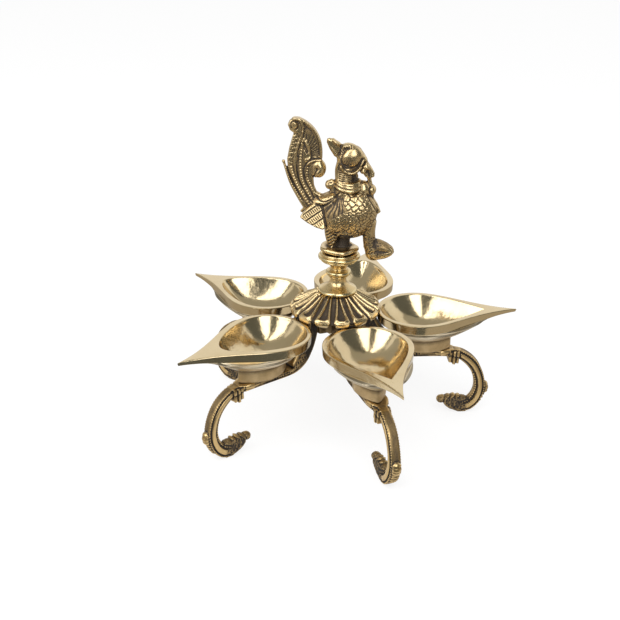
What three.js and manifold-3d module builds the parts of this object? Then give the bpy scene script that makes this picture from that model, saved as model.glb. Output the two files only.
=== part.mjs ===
// Standing five-bowl oil lamp with a bird on top, all in brass.
// Millimetres, +Z up. The lamp stands on five scroll feet at z = 0.
// Each arm is drawn in its own vertical plane as (r, z) points and turned about the stem.

import * as THREE from "three";
import { mergeVertices } from "three/addons/utils/BufferGeometryUtils.js";
import Module from "manifold-3d";

const wasm = await Module();
wasm.setup();

// Layout of the arms, in degrees from the way the bird faces. The lamp is put together by hand,
// so the arms are a little off an even fifth of a turn, and each bowl can turn on its screw.
const ARM_ANGLES = [2, 75, 146, 218, 289.5];
const BOWL_TURNS = [0, 0, 0, 0, -5];

// Bowls, one spouted leaf shape each
const BOWL_TIP_R = 100; // from the stem's axis to the end of a spout
const BOWL_BACK_R = 25;
const BOWL_HALF = 23.4;
const BOWL_H = 22.9; // from the strap to the rim
const TIP_DROP = 0.6; // the spout's end lies this far under the rim
const BAND_H = 5.1; // plain band round the rim
const TIP_T = 1.5; // the band's height at the spout's end
const BAND_INSET = 1.2;
const RIM_BACK_W = 1.9; // flat top of the rim, behind the hollow
const RIM_SIDE_W = 3; // and beside it
const LIP_L = 22; // and in front, where it is the floor of the spout
const BODY_BACK_IN = 3.2; // the body under the band lies this far inside the rim's outline
const BODY_SIDE_IN = 3.8;
const BODY_END_IN = 19;
const BODY_STEP = 0.5; // between the band and the body
const SEAT_FLARE = 0.4; // the foot widens a little towards the strap
const FLOOR_T = 9.2; // from the strap to the bottom of the hollow
const SEAT_BACK_R = 34.4; // the bowl's foot
const SEAT_END_R = 64.6;
const SEAT_HALF = 8;
const SEAT_H = 6.7;

// Heights of the pieces that are stacked under and over the bowls
const STRAP_TOP_Z = 41.3; // the bowls' feet stand here
const STRAP_T = 3.7;
const HUB_OVER_RIM = 0.3;
const HUB_H = 8.5;
const HUB_FLAT_R = 15; // the legs are brazed to flats at this radius
const HUB_NECK_R = 8;
const HUB_NECK_H = 7.9;
const LOTUS_R = 24.6;
const LOTUS_DROP = 9.8; // from the top of the canopy to its widest edge
const LOTUS_T = 3.6; // in the middle, where it is clamped
const PETAL_RELIEF = 0.9;
const STEM_H = 22.3;
const STEM_LIP_R = 10.1;
const STEM_FLANGE_R = 10.9;
const PLATE_T = 2.2; // lobed plate under the bird
const PLATE_R = 10;
const PLATE_GAP = 1.2; // dark neck between the plate and the stem's flange
const BIRD_H = 70.8; // from the plate's underside to the top of the tail

// Legs
const ARM_W = 9;
const ARM_T = 5.8; // where the arm leaves the hub
const STRAP_W = 12;
const SCROLL_W = 6;
const SCROLL_L = 21; // how far the scroll reaches out past the bowl's foot
const FOOT_IN = 12.3; // from there back to the middle of the flat it stands on
const FOOT_FLAT = 4.2;

// Fastenings
const ROD_R = 2;
const ROD_REACH = 10; // up into the stem
const ROD_END = 2.2; // below the nut
const ROD_CLEAR = 0.3;
const WASHER_R = 6;
const WASHER_T = 1.4;
const NUT_FLATS = 7.6;
const NUT_H = 4;
const SCREW_R = 1.75;
const SCREW_CLEAR = 0.2;
const SCREW_HEAD_R = 3.4;
const SCREW_HEAD_H = 2;
const SCREW_REACH = FLOOR_T / 2; // into the bowl's foot
const SPIGOT_R = 2.6;
const SPIGOT_L = 4.5;
const SPIGOT_CLEAR = 0.25;
const END_CLEAR = 0.5; // past the end of a rod, a screw or a spigot in its hole

// How finely round shapes are cut
const BOWL_STEPS = 12; // along one side of a bowl
const LATHE_STEPS = 24;
const PETALS = 16;

// Places that follow from the sizes above
const RIM_Z = STRAP_TOP_Z + BOWL_H;
const STRAP_BOTTOM_Z = STRAP_TOP_Z - STRAP_T;
const SEAT_R = (SEAT_BACK_R + SEAT_END_R) / 2; // middle of the bowl's foot, where its screw is
const SCROLL_OUT_R = SEAT_END_R + SCROLL_L;
const FOOT_R = SCROLL_OUT_R - FOOT_IN;
const HUB_TOP_Z = RIM_Z + HUB_OVER_RIM;
const HUB_BOTTOM_Z = HUB_TOP_Z - HUB_H;
const LOTUS_SEAT_Z = HUB_TOP_Z + HUB_NECK_H; // top of the hub's neck, where the canopy rests
const LOTUS_TOP_Z = LOTUS_SEAT_Z + LOTUS_T;
const STEM_TOP_Z = LOTUS_TOP_Z + STEM_H;
const ROD_TOP_Z = LOTUS_TOP_Z + ROD_REACH;
const ROD_BOTTOM_Z = HUB_BOTTOM_Z - WASHER_T - NUT_H - ROD_END;
const CUT = 1; // a cutting tool runs this far past the faces that it cuts

// Materials
const polished = new THREE.MeshStandardMaterial({ color: 0xd8c48c, metalness: 1, roughness: 0.14 });
const golden = new THREE.MeshStandardMaterial({ color: 0xd1aa58, metalness: 1, roughness: 0.2 });
const antique = new THREE.MeshStandardMaterial({ color: 0x9a7a42, metalness: 1, roughness: 0.38 });
const hardware = new THREE.MeshStandardMaterial({ color: 0xb6924c, metalness: 1, roughness: 0.4 });

// Solids

// A three.js geometry as a manifold solid.
function solid(geometry) {
  const bare = new THREE.BufferGeometry();
  const flat = geometry.index ? geometry.toNonIndexed() : geometry;
  bare.setAttribute("position", flat.getAttribute("position"));
  const merged = mergeVertices(bare, 1e-4);
  const triVerts = new Uint32Array(merged.index.array);
  const vertProperties = merged.attributes.position.array;
  return new wasm.Manifold(new wasm.Mesh({ numProp: 3, vertProperties, triVerts }));
}

function join(solids) {
  return solids.reduce((sum, next) => sum.add(next));
}

function meshOf(name, body, material) {
  const made = body.getMesh();
  const geometry = new THREE.BufferGeometry();
  geometry.setAttribute("position", new THREE.BufferAttribute(made.vertProperties, 3));
  geometry.setIndex(new THREE.BufferAttribute(made.triVerts, 1));
  geometry.computeVertexNormals();
  const mesh = new THREE.Mesh(geometry, material);
  mesh.name = name;
  return mesh;
}

function signedVolume(vertices, faces) {
  const crossed = new THREE.Vector3();
  return faces.reduce((sum, [a, b, c]) => {
    crossed.crossVectors(vertices[b], vertices[c]);
    return sum + vertices[a].dot(crossed) / 6;
  }, 0);
}

// A closed skin over a row of rings with equally many points, with a fan over each end.
function skin(rings) {
  const count = rings[0].length;
  const vertices = rings.flat();
  const faces = [];
  for (let k = 0; k + 1 < rings.length; k++) {
    for (let i = 0; i < count; i++) {
      const j = (i + 1) % count;
      const a = k * count;
      const b = a + count;
      faces.push([a + i, b + i, b + j], [a + i, b + j, a + j]);
    }
  }
  const last = (rings.length - 1) * count;
  const firstHub = vertices.push(centreOf(rings[0])) - 1;
  const lastHub = vertices.push(centreOf(rings[rings.length - 1])) - 1;
  for (let i = 0; i < count; i++) {
    const j = (i + 1) % count;
    faces.push([firstHub, i, j], [lastHub, last + j, last + i]);
  }
  const turned = signedVolume(vertices, faces) < 0;
  const order = faces.flatMap(([a, b, c]) => (turned ? [a, c, b] : [a, b, c]));
  const geometry = new THREE.BufferGeometry().setFromPoints(vertices);
  geometry.setIndex(order);
  return solid(geometry);
}

function centreOf(ring) {
  const sum = ring.reduce((total, p) => total.add(p), new THREE.Vector3());
  return sum.divideScalar(ring.length);
}

function lathe(profile, steps = LATHE_STEPS) {
  const points = profile.map(([r, z]) => new THREE.Vector2(r, z));
  return solid(new THREE.LatheGeometry(points, steps).rotateX(Math.PI / 2));
}

function cylinder(r, low, high, steps, x = 0) {
  const body = new THREE.CylinderGeometry(r, r, high - low, steps).rotateX(Math.PI / 2);
  return solid(body.translate(x, 0, (low + high) / 2));
}

function ellipsoid([x, y, z], [rx, ry, rz], across = 10, up = 7, tilt = 0) {
  const ball = new THREE.SphereGeometry(1, across, up).rotateX(Math.PI / 2);
  return solid(ball.scale(rx, ry, rz).rotateY(tilt).translate(x, y, z));
}

function box([x, y, z], [dx, dy, dz], tilt = 0) {
  return solid(new THREE.BoxGeometry(dx, dy, dz).rotateY(tilt).translate(x, y, z));
}

// A plate with the given (x, z) outline, centred on y = 0 and bevelled all round.
function plate(outline, thickness, bevel = 0.5, y = 0) {
  const shape = new THREE.Shape(outline.map(([x, z]) => new THREE.Vector2(x, z)));
  const geometry = new THREE.ExtrudeGeometry(shape, {
    depth: thickness - 2 * bevel,
    bevelEnabled: true,
    bevelThickness: bevel,
    bevelSize: bevel,
    bevelOffset: -bevel,
    bevelSegments: 1,
    curveSegments: 1,
  });
  geometry.translate(0, 0, bevel - thickness / 2).rotateX(Math.PI / 2);
  return solid(geometry.translate(0, y, 0));
}

// Between two sizes, by a share from 0 to 1.
function between(low, high, share) {
  return low + (high - low) * share;
}

// Points spread along a smooth curve through [a, b] pairs.
function along(pairs, steps) {
  const curve = new THREE.SplineCurve(pairs.map(([a, b]) => new THREE.Vector2(a, b)));
  return curve.getPoints(steps);
}

// A bar drawn in the (r, z) plane between an inner and an outer edge.
// The section's [u, v] runs from -1 at the inner edge to 1 at the outer, and over the width.
function bar(inner, outer, widths, section, steps) {
  const inside = along(inner, steps);
  const outside = along(outer, steps);
  const wide = along(widths.map((w, i) => [i, w]), steps);
  return skin(inside.map((low, i) => section.map(([u, v]) => {
    const r = between(low.x, outside[i].x, (u + 1) / 2);
    const z = between(low.y, outside[i].y, (u + 1) / 2);
    return new THREE.Vector3(r, (v * wide[i].y) / 2, z);
  })));
}

// A round tube through (x, y, z) points, with one radius pair [in the plane, across] for each.
function tube(path, radii, sides = 6, steps = 8) {
  const curve = new THREE.CatmullRomCurve3(path.map((p) => new THREE.Vector3(...p)));
  const inPlane = along(radii.map(([a], i) => [i, a]), steps);
  const across = along(radii.map(([, b], i) => [i, b]), steps);
  const rings = [];
  for (let k = 0; k <= steps; k++) {
    const p = curve.getPoint(k / steps);
    const t = curve.getTangent(k / steps);
    const normal = new THREE.Vector3(-t.z, 0, t.x).normalize();
    const side = new THREE.Vector3().crossVectors(t, normal).normalize();
    rings.push(Array.from({ length: sides }, (_, i) => {
      const a = (2 * Math.PI * (i + 0.5)) / sides;
      return p.clone()
        .addScaledVector(normal, Math.cos(a) * inPlane[k].y)
        .addScaledVector(side, Math.sin(a) * across[k].y);
    }));
  }
  return skin(rings);
}

function mirrored(section) {
  const back = section.map(([u, v]) => [u, -v]).reverse();
  return [...section, ...back];
}

// Bowl

// One closed ring from the points of its left half.
function bothSides(half, height) {
  const left = half.map((p) => new THREE.Vector3(p.x, p.y, height(p.x)));
  const right = half.slice(1, -1).reverse().map((p) => new THREE.Vector3(p.x, -p.y, height(p.x)));
  return [...left, ...right].reverse();
}

// Half of a leaf outline: [share of the length, share of the half width] from back to spout.
function leafHalf(back, end, half, leaf) {
  const inner = leaf.map(([share, wide]) => [between(back, end, share), half * wide]);
  return along([[back, 0], ...inner, [end, 0]], BOWL_STEPS);
}

const RIM_LEAF = [[0.04, 0.49], [0.133, 0.85], [0.293, 1], [0.467, 0.83], [0.627, 0.53], [0.8, 0.25]];
const HOLLOW_LEAF = [[0.047, 0.5], [0.178, 0.83], [0.374, 1], [0.589, 0.88], [0.785, 0.61], [0.941, 0.33]];

function rimHalf(inset) {
  return leafHalf(BOWL_BACK_R + inset, BOWL_TIP_R - inset, BOWL_HALF - inset, RIM_LEAF);
}

// The hollow's outline, drawn in towards its deepest place.
function hollowHalf(scale) {
  const back = BOWL_BACK_R + RIM_BACK_W;
  const end = BOWL_TIP_R - LIP_L;
  const deepest = between(back, end, 0.43);
  const at = (r) => between(deepest, r, scale);
  return leafHalf(at(back), at(end), (BOWL_HALF - RIM_SIDE_W) * scale, HOLLOW_LEAF);
}

// A boat outline that is a little sharper at its outer end.
function boatHalf(back, end, half) {
  const middle = (back + end) / 2;
  return Array.from({ length: BOWL_STEPS + 1 }, (_, i) => {
    const a = Math.PI * (1 - i / BOWL_STEPS);
    const sharper = 1 - 0.2 * Math.max(0, Math.cos(a));
    return new THREE.Vector2(middle + ((end - back) / 2) * Math.cos(a), half * Math.sin(a) * sharper);
  });
}

// The body under the band narrows down to the foot: [share down, share in at the back and sides,
// share in at the outer end].
const BODY = [[0, 0, 0], [0.235, 0.09, 0.25], [0.618, 0.44, 0.63], [1, 1, 1]];

function bowlBody(seatTop) {
  const top = {
    back: BOWL_BACK_R + BODY_BACK_IN,
    end: BOWL_TIP_R - BODY_END_IN,
    half: BOWL_HALF - BODY_SIDE_IN,
  };
  const low = { back: SEAT_BACK_R, end: SEAT_END_R + BODY_STEP, half: SEAT_HALF + 2 * BODY_STEP };
  return BODY.map(([down, inward, outerIn]) => bothSides(
    boatHalf(
      between(top.back, low.back, inward),
      between(top.end, low.end, outerIn),
      between(top.half, low.half, inward),
    ),
    () => between(RIM_Z - BAND_H - BODY_STEP, seatTop + SEAT_FLARE, down),
  ));
}

function bowl() {
  const seatTop = STRAP_TOP_Z + SEAT_H;
  const spoutStart = between(BOWL_BACK_R, BOWL_TIP_R, 0.493);
  const spoutEnd = between(BOWL_BACK_R, BOWL_TIP_R, 1.08);
  const towardsTip = (r) => THREE.MathUtils.smoothstep(r, spoutStart, spoutEnd);
  const rimTop = (r) => RIM_Z - TIP_DROP * towardsTip(r);
  const bandLow = (r) => RIM_Z - between(BAND_H, TIP_DROP + TIP_T, towardsTip(r));
  const hollow = [[0.34, 1], [0.62, 0.86], [0.84, 0.57], [0.96, 0.2], [1, 0]];
  const inside = hollow.map(([scale, depth]) => (
    bothSides(hollowHalf(scale), (r) => rimTop(r) - (BOWL_H - FLOOR_T) * depth)
  ));
  const foot = (spread, z) => bothSides(
    boatHalf(SEAT_BACK_R, SEAT_END_R, SEAT_HALF + spread),
    () => z,
  );
  const outside = [
    bothSides(rimHalf(0), rimTop),
    bothSides(rimHalf(BAND_INSET), bandLow),
    ...bowlBody(seatTop),
    foot(0, seatTop),
    foot(SEAT_FLARE, STRAP_TOP_Z),
  ];
  const holeTop = STRAP_TOP_Z + SCREW_REACH + END_CLEAR;
  const hole = cylinder(SCREW_R + SCREW_CLEAR, STRAP_TOP_Z - CUT, holeTop, 10, SEAT_R);
  return skin([...inside, ...outside]).subtract(hole);
}

function bowlScrew() {
  const head = cylinder(SCREW_HEAD_R, STRAP_BOTTOM_Z - SCREW_HEAD_H, STRAP_BOTTOM_Z, 12, SEAT_R);
  const shank = cylinder(SCREW_R, STRAP_BOTTOM_Z - 0.5, STRAP_TOP_Z + SCREW_REACH, 10, SEAT_R);
  return head.add(shank);
}

// Leg: the arm from the hub, the strap under the bowl, the collar and the scroll foot

const CHAMFERED = mirrored([[1, 0.82], [0.6, 1], [-0.6, 1], [-1, 0.82]]);
const MOULDED = mirrored([[1, 0.6], [0.62, 0.94], [0.42, 0.7], [0.2, 1], [-0.6, 1], [-1, 0.62]]);

// From the hub's flat down and out to the strap: [share outwards, share downwards].
const ARM_INNER = [[0, 0], [0, 0.24], [0.03, 0.487], [0.14, 0.69], [0.35, 0.874], [0.67, 0.978], [1, 1]];
const ARM_OUTER = [[0, 0], [0.04, 0.237], [0.17, 0.435], [0.37, 0.6], [0.58, 0.754], [0.78, 0.9], [1, 1]];

function armAndStrap() {
  const flatStart = SEAT_BACK_R + 1.6;
  const strap = (z) => [[SEAT_R - 2.5, z], [SEAT_END_R - 6.6, z]];
  const edge = (shares, r, z) => shares.map(([out, down]) => (
    [between(r, flatStart, out), between(HUB_TOP_Z, z, down)]
  ));
  const inner = [
    ...edge(ARM_INNER, HUB_FLAT_R, STRAP_BOTTOM_Z),
    ...strap(STRAP_BOTTOM_Z),
    [SEAT_END_R + 0.9, STRAP_BOTTOM_Z - 1.6],
  ];
  const outer = [
    ...edge(ARM_OUTER, HUB_FLAT_R + ARM_T, STRAP_TOP_Z),
    ...strap(STRAP_TOP_Z),
    [SEAT_END_R + 1.6, STRAP_TOP_Z - 0.7],
  ];
  const widening = [0, 0, 0, 0.17, 0.5, 0.83, 1, 1, 1].map((share) => between(ARM_W, STRAP_W, share));
  const made = bar(inner, outer, [...widening, SCROLL_W + 1], CHAMFERED, 11);
  // Planed for the bowl's foot, for the screw's head and where the arm meets the hub.
  const seatL = SEAT_END_R - SEAT_BACK_R + 6;
  const overSeat = box([SEAT_R + 0.5, 0, STRAP_TOP_Z + BOWL_H / 2], [seatL, 2 * STRAP_W, BOWL_H]);
  const headL = 4 * SCREW_HEAD_R;
  const underSeat = box([SEAT_R + 0.5, 0, STRAP_BOTTOM_Z - ARM_T], [headL, 2 * STRAP_W, 2 * ARM_T]);
  const inHub = box([HUB_FLAT_R / 2, 0, HUB_TOP_Z], [HUB_FLAT_R, 2 * ARM_W, HUB_TOP_Z]);
  return made.subtract(overSeat).subtract(underSeat).subtract(inHub);
}

function collar() {
  const lean = 0.3;
  const bands = [[0.6, 3.4, 7.8], [3.4, 4.4, 8.2]].map(([out, down, tall]) => (
    box([SEAT_END_R + out, 0, STRAP_TOP_Z - down], [2, SCROLL_W + 2.2, tall], lean)
  ));
  const knobs = [-1, 1].map((side) => ellipsoid(
    [SEAT_END_R + 2, side * (SCROLL_W / 2 + 1), STRAP_TOP_Z - 3.9],
    [2.1, 1.3, 1.7],
    6,
    4,
  ));
  return [...bands, ...knobs];
}

// From the collar round to the foot: [share outwards, share of the strap's height].
const SCROLL_OUTER = [
  [0.04, 0.983], [0.329, 0.949], [0.581, 0.869], [0.762, 0.77], [0.886, 0.654], [0.967, 0.533],
  [1, 0.407], [0.967, 0.276], [0.848, 0.14], [0.648, 0.039], [0.429, 0.007],
];
const SCROLL_INNER = [
  [0, 0.862], [0.229, 0.823], [0.395, 0.76], [0.533, 0.683], [0.629, 0.596], [0.686, 0.504],
  [0.705, 0.412], [0.681, 0.329], [0.61, 0.252], [0.505, 0.199], [0.39, 0.174],
];

function scroll() {
  const edge = (shares) => shares.map(([out, up]) => (
    [between(SEAT_END_R, SCROLL_OUT_R, out), STRAP_TOP_Z * up]
  ));
  const spread = [1, 0, 0, 0, 0, 0, 0.2, 0.6, 0.8, 0.4, -0.4];
  const widths = spread.map((more) => SCROLL_W + more);
  return bar(edge(SCROLL_INNER), edge(SCROLL_OUTER), widths, MOULDED, 12);
}

// The curled end under the scroll, drawn from the middle of its flat: a ribbed shell with a bead.
function curl() {
  const half = FOOT_FLAT / 2;
  const at = ([r, z]) => [FOOT_R + r, z];
  const outline = [
    [-half, 0], [half, 0], [4.7, 2.4], [3.7, 8], [1.3, 9.2], [-3.3, 9.6],
    [-7.3, 10], [-10.9, 9.8], [-12.9, 7.8], [-11.3, 5.4], [-7.3, 2.2],
  ];
  const shell = plate(outline.map(at), SCROLL_W - 0.8, 0.7);
  const rib = (points) => tube(
    points.map(at).map(([r, z]) => [r, 0, z]),
    [[0.8, SCROLL_W / 2 - 0.4], [1.2, SCROLL_W / 2 + 0.4], [0.8, SCROLL_W / 2 - 0.4]],
    5,
    4,
  );
  return [
    shell,
    rib([[-4.7, 1.2], [-6.9, 6], [-5.3, 9.8]]),
    rib([[-8.5, 3.4], [-9.9, 6.8], [-8.9, 9.8]]),
    ellipsoid([FOOT_R - 12.5, 0, 8.6], [2.4, SCROLL_W / 2 - 0.4, 2.3], 7, 5),
    ellipsoid([FOOT_R - 0.1, 0, 6.8], [2.6, SCROLL_W / 2 + 0.5, 2.4], 7, 5),
  ];
}

// A pair of balls on the outside of the scroll, where it is widest.
function footBeads() {
  const at = (up) => [SCROLL_OUT_R + 0.4, 0, STRAP_TOP_Z * up];
  return [
    ellipsoid(at(0.409), [2.5, SCROLL_W / 2 - 0.4, 2.2], 6, 5),
    ellipsoid(at(0.315), [2.2, SCROLL_W / 2 - 0.6, 2.1], 6, 5),
  ];
}

// Small leaves on both sides of the strap, just before the collar.
function strapLeaves() {
  const z = (STRAP_TOP_Z + STRAP_BOTTOM_Z) / 2;
  return [-1, 1].map((side) => (
    ellipsoid([SEAT_END_R - 4, side * (STRAP_W / 2 - 0.4), z], [3.4, 1.7, 1.7], 6, 4)
  ));
}

function leg() {
  const whole = join([
    armAndStrap(), ...collar(), scroll(), ...curl(), ...footBeads(), ...strapLeaves(),
  ]);
  const hole = cylinder(SCREW_R + SCREW_CLEAR, STRAP_BOTTOM_Z - CUT, STRAP_TOP_Z + CUT, 10, SEAT_R);
  const underFloor = box([FOOT_R, 0, -5], [60, 40, 10]);
  return whole.subtract(hole).subtract(underFloor);
}

// Hub: a boss with a flat for each leg, hollowed between them, and a neck for the canopy

function hub() {
  const halfFlat = ARM_W / 2 + 0.6;
  const webR = HUB_FLAT_R - 2.2;
  const shape = new THREE.Shape(ARM_ANGLES.flatMap((angle, k) => {
    const turn = THREE.MathUtils.degToRad(angle);
    const following = THREE.MathUtils.degToRad(ARM_ANGLES[k + 1] ?? ARM_ANGLES[0] + 360);
    const gap = (turn + following) / 2;
    const flat = [-halfFlat, halfFlat].map((y) => (
      new THREE.Vector2(HUB_FLAT_R, y).rotateAround(new THREE.Vector2(), turn)
    ));
    const web = [-0.12, 0.12].map((a) => (
      new THREE.Vector2(webR * Math.cos(gap + a), webR * Math.sin(gap + a))
    ));
    return [...flat, ...web];
  }));
  const boss = new THREE.ExtrudeGeometry(shape, {
    depth: HUB_TOP_Z - HUB_BOTTOM_Z,
    bevelEnabled: false,
  });
  const neck = cylinder(HUB_NECK_R, HUB_TOP_Z - CUT, LOTUS_SEAT_Z, 24);
  const bore = cylinder(ROD_R + ROD_CLEAR, HUB_BOTTOM_Z - CUT, LOTUS_SEAT_Z + CUT, 14);
  return solid(boss.translate(0, 0, HUB_BOTTOM_Z)).add(neck).subtract(bore);
}

// Lotus canopy: a bell of petals, each with a raised edge and a sunk middle

// [share of the canopy's radius, share of its drop]
const LOTUS_TOP = [[0.415, 0.04], [0.61, 0.296], [0.813, 0.571], [0.963, 0.776], [1, 1]];
const LOTUS_UNDER = [[0.927, 1.153], [0.671, 0.673]];
// Across one petal: how far along it, and how high there as a share of the relief.
const PETAL = [[-0.5, -1], [-0.34, 0.4], [-0.16, -0.4], [0.16, -0.4], [0.34, 0.4]];

function lotusRing([r, z], relief) {
  const ring = [];
  for (let k = 0; k < PETALS; k++) {
    for (const [share, high] of PETAL) {
      const a = (2 * Math.PI * (k + share)) / PETALS;
      const out = r + relief * high * 0.7;
      ring.push(new THREE.Vector3(out * Math.cos(a), out * Math.sin(a), z + relief * high));
    }
  }
  return ring;
}

function lotusCanopy() {
  const reliefs = [0.33, 0.67, 0.89, 1, 1].map((share) => PETAL_RELIEF * share);
  const at = ([out, down]) => [LOTUS_R * out, LOTUS_TOP_Z - LOTUS_DROP * down];
  const rings = [
    lotusRing([LOTUS_R * 0.2, LOTUS_TOP_Z], 0),
    lotusRing([LOTUS_R * 0.38, LOTUS_TOP_Z], 0),
    ...LOTUS_TOP.map((p, i) => lotusRing(at(p), reliefs[i])),
    lotusRing(at(LOTUS_UNDER[0]), PETAL_RELIEF * 0.44),
    lotusRing(at(LOTUS_UNDER[1]), 0),
    lotusRing([HUB_NECK_R + 2.5, LOTUS_SEAT_Z], 0),
  ];
  const bore = cylinder(ROD_R + ROD_CLEAR, LOTUS_SEAT_Z - CUT, LOTUS_TOP_Z + CUT, 14);
  return skin(rings).subtract(bore);
}

// Stem: one turned piece from the flared lip to the flange under the bird

// [radius, share of the stem's height]
const STEM_WAISTS = [
  [8, 0.121], [5.8, 0.197], [4.8, 0.278], [4.5, 0.341], [5.6, 0.381], [6.4, 0.43], [6.4, 0.502],
  [5.5, 0.556], [4.3, 0.596], [4.5, 0.646], [6.2, 0.709], [8.4, 0.807], [9.9, 0.87],
];

function stem() {
  const up = (share) => between(LOTUS_TOP_Z, STEM_TOP_Z, share);
  const profile = [
    [0, up(0)], [STEM_LIP_R - 0.5, up(0)], [STEM_LIP_R, up(0.036)], [STEM_LIP_R - 0.3, up(0.072)],
    ...STEM_WAISTS.map(([r, share]) => [r, up(share)]),
    [STEM_FLANGE_R - 0.1, up(0.915)], [STEM_FLANGE_R, up(0.96)], [STEM_FLANGE_R - 0.7, up(1)], [0, up(1)],
  ];
  const rodHole = cylinder(ROD_R + ROD_CLEAR, LOTUS_TOP_Z - CUT, ROD_TOP_Z + END_CLEAR, 14);
  const spigotBottom = STEM_TOP_Z - SPIGOT_L - END_CLEAR;
  const spigotHole = cylinder(SPIGOT_R + SPIGOT_CLEAR, spigotBottom, STEM_TOP_Z + CUT, 12);
  return lathe(profile).subtract(rodHole).subtract(spigotHole);
}

// Rod, washer and nut that hold the hub, the canopy and the stem together

function tieRod() {
  return cylinder(ROD_R, ROD_BOTTOM_Z, ROD_TOP_Z, 12);
}

function washer() {
  const ring = cylinder(WASHER_R, HUB_BOTTOM_Z - WASHER_T, HUB_BOTTOM_Z, 20);
  const low = HUB_BOTTOM_Z - WASHER_T - CUT;
  return ring.subtract(cylinder(ROD_R + ROD_CLEAR, low, HUB_BOTTOM_Z + CUT, 14));
}

function nut() {
  const top = HUB_BOTTOM_Z - WASHER_T;
  const corner = NUT_FLATS / 2 / Math.cos(Math.PI / 6);
  const body = cylinder(corner, top - NUT_H, top, 6);
  return body.subtract(cylinder(ROD_R + ROD_CLEAR, top - NUT_H - CUT, top + CUT, 14));
}

// Bird, drawn in (x, z) with its head towards +X and the underside of its lobed plate at z = 0

const DRAWN_H = 70.8; // the height that the outlines below are drawn for
const BIRD_OFFSET = 1.5; // the casting stands a little off the stem's middle
const RAISED_LEG_Y = -1.6;

function lobedPlate() {
  const lobes = 6;
  const steps = 3 * lobes;
  const edge = (r, z) => Array.from({ length: steps }, (_, i) => {
    const a = (2 * Math.PI * i) / steps;
    const out = r * (1 + 0.05 * Math.cos(lobes * a));
    return new THREE.Vector3(out * Math.cos(a), out * Math.sin(a), z);
  });
  return [
    skin([
      edge(PLATE_R - 1, 0),
      edge(PLATE_R, PLATE_T * 0.41),
      edge(PLATE_R - 1, PLATE_T),
      edge(PLATE_R / 2, PLATE_T + 0.4),
    ]),
    cylinder(PLATE_R * 0.6, -PLATE_GAP, PLATE_T / 2, 14),
    cylinder(SPIGOT_R, -PLATE_GAP - SPIGOT_L, PLATE_T / 2, 10, -BIRD_OFFSET),
  ];
}

function birdBody() {
  return [
    ellipsoid([5.3, 0, 20.3], [14.1, 9.6, 13.2], 16, 10),
    ellipsoid([4.2, 0, 39.5], [6.4, 5.3, 9], 10, 6),
    ellipsoid([5, 0, 35.4], [8.8, 6.4, 2.2], 12, 5, 0.16),
    ellipsoid([-5.3, 0, 36.5], [2.4, 2.4, 2.4], 7, 5),
    ellipsoid([12.4, 0, 33.1], [4, 4, 5], 8, 6),
    tube([[-4, 0, 37.5], [-3.2, 0, 34], [-3.6, 0, 30.5]], [[2, 2.4], [2, 2.6], [2.6, 3]], 6, 4),
  ];
}

function birdHead() {
  const beak = [
    [9, 53.1], [12.4, 49.7], [15.6, 45.1], [17.8, 41.9], [16.2, 39.5], [13.4, 39.7],
    [11, 41.5], [8.4, 44.5],
  ];
  const crest = [
    [2.6, 57.7], [-0.9, 58.1], [-3.1, 60], [-5.9, 60.9], [-6.9, 59.3], [-5.8, 55.9],
    [-3.8, 51.3], [0.4, 48.1],
  ];
  const cheeks = [-1, 1].map((side) => ellipsoid([5.8, side * 2.6, 48.9], [5.2, 4.4, 5.2], 10, 7));
  const throats = [-1, 1].map((side) => ellipsoid([5.4, side * 2.2, 43.7], [4.6, 3.8, 2.2], 8, 5));
  return [
    ellipsoid([5.2, 0, 50.1], [7.4, 5.4, 7.8], 12, 8),
    ...cheeks,
    ...throats,
    plate(beak, 5.4, 1),
    plate(crest, 3.8, 0.9),
  ];
}

// The strand of beads that hangs from the beak and ends in a pointed leaf on the breast.
function breastStrand() {
  return [
    tube([[15.4, 0, 40.5], [16.4, 0, 36.9], [15.6, 0, 31.5], [17.2, 0, 25.5]],
      [[1.3, 1.6], [1.6, 2], [2, 2.4], [1.6, 2.4]], 6, 5),
    ellipsoid([16.2, 0, 33.9], [2.3, 2.5, 2.3], 7, 5),
    tube([[15, 0, 29.9], [18, 0, 26.1], [21.6, 0, 21.7]], [[1.4, 2], [1.8, 3.4], [0.5, 0.6]], 6, 4),
  ];
}

function birdTail() {
  const web = [
    [-17.4, 23.1], [-21.4, 30.5], [-24.6, 36.7], [-26.6, 42.7], [-27.1, 47.7], [-26.2, 54.7],
    [-24.3, 60.7], [-23.4, 64.1], [-24.6, 69.9], [-20.2, 70.8], [-16.6, 68.8],
    [-13.4, 65.5], [-11.2, 61.1], [-9.9, 55.9], [-9.8, 49.5], [-13.4, 41.7], [-13.2, 35.5],
    [-11.8, 32.6], [-9, 31], [-5, 31.7], [-4, 22.5], [-10, 17.5],
  ];
  const rib = (points, size) => tube(
    points.map(([x, z]) => [x, 0, z]),
    points.map(() => [size, 2.6]),
    4,
    7,
  );
  return [
    plate(web, 3.8, 0.8),
    rib([[-13, 22.5], [-20.4, 34], [-24.6, 44.5], [-24.4, 54.1], [-21.8, 64.5]], 1.1),
    rib([[-10.4, 23.5], [-17.4, 34.5], [-20.8, 45.5], [-20.4, 54.5], [-18.2, 63.5]], 1.1),
    rib([[-8, 24.5], [-14, 33.5], [-16.6, 41.5], [-16.4, 48.5], [-14.6, 51.9]], 1.1),
    ellipsoid([-23.4, 0, 67.5], [3.1, 3.3, 3.2], 8, 6),
    ellipsoid([-12, 0, 44.7], [4.4, 3.9, 4.5], 9, 7),
    tube([[-16, 0, 21.1], [-20.8, 0, 28.9], [-25.4, 0, 37.9], [-29.2, 0, 48.7]],
      [[1.2, 1.7], [1.2, 1.7], [1, 1.4], [0.6, 0.7]], 5, 6),
  ];
}

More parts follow.
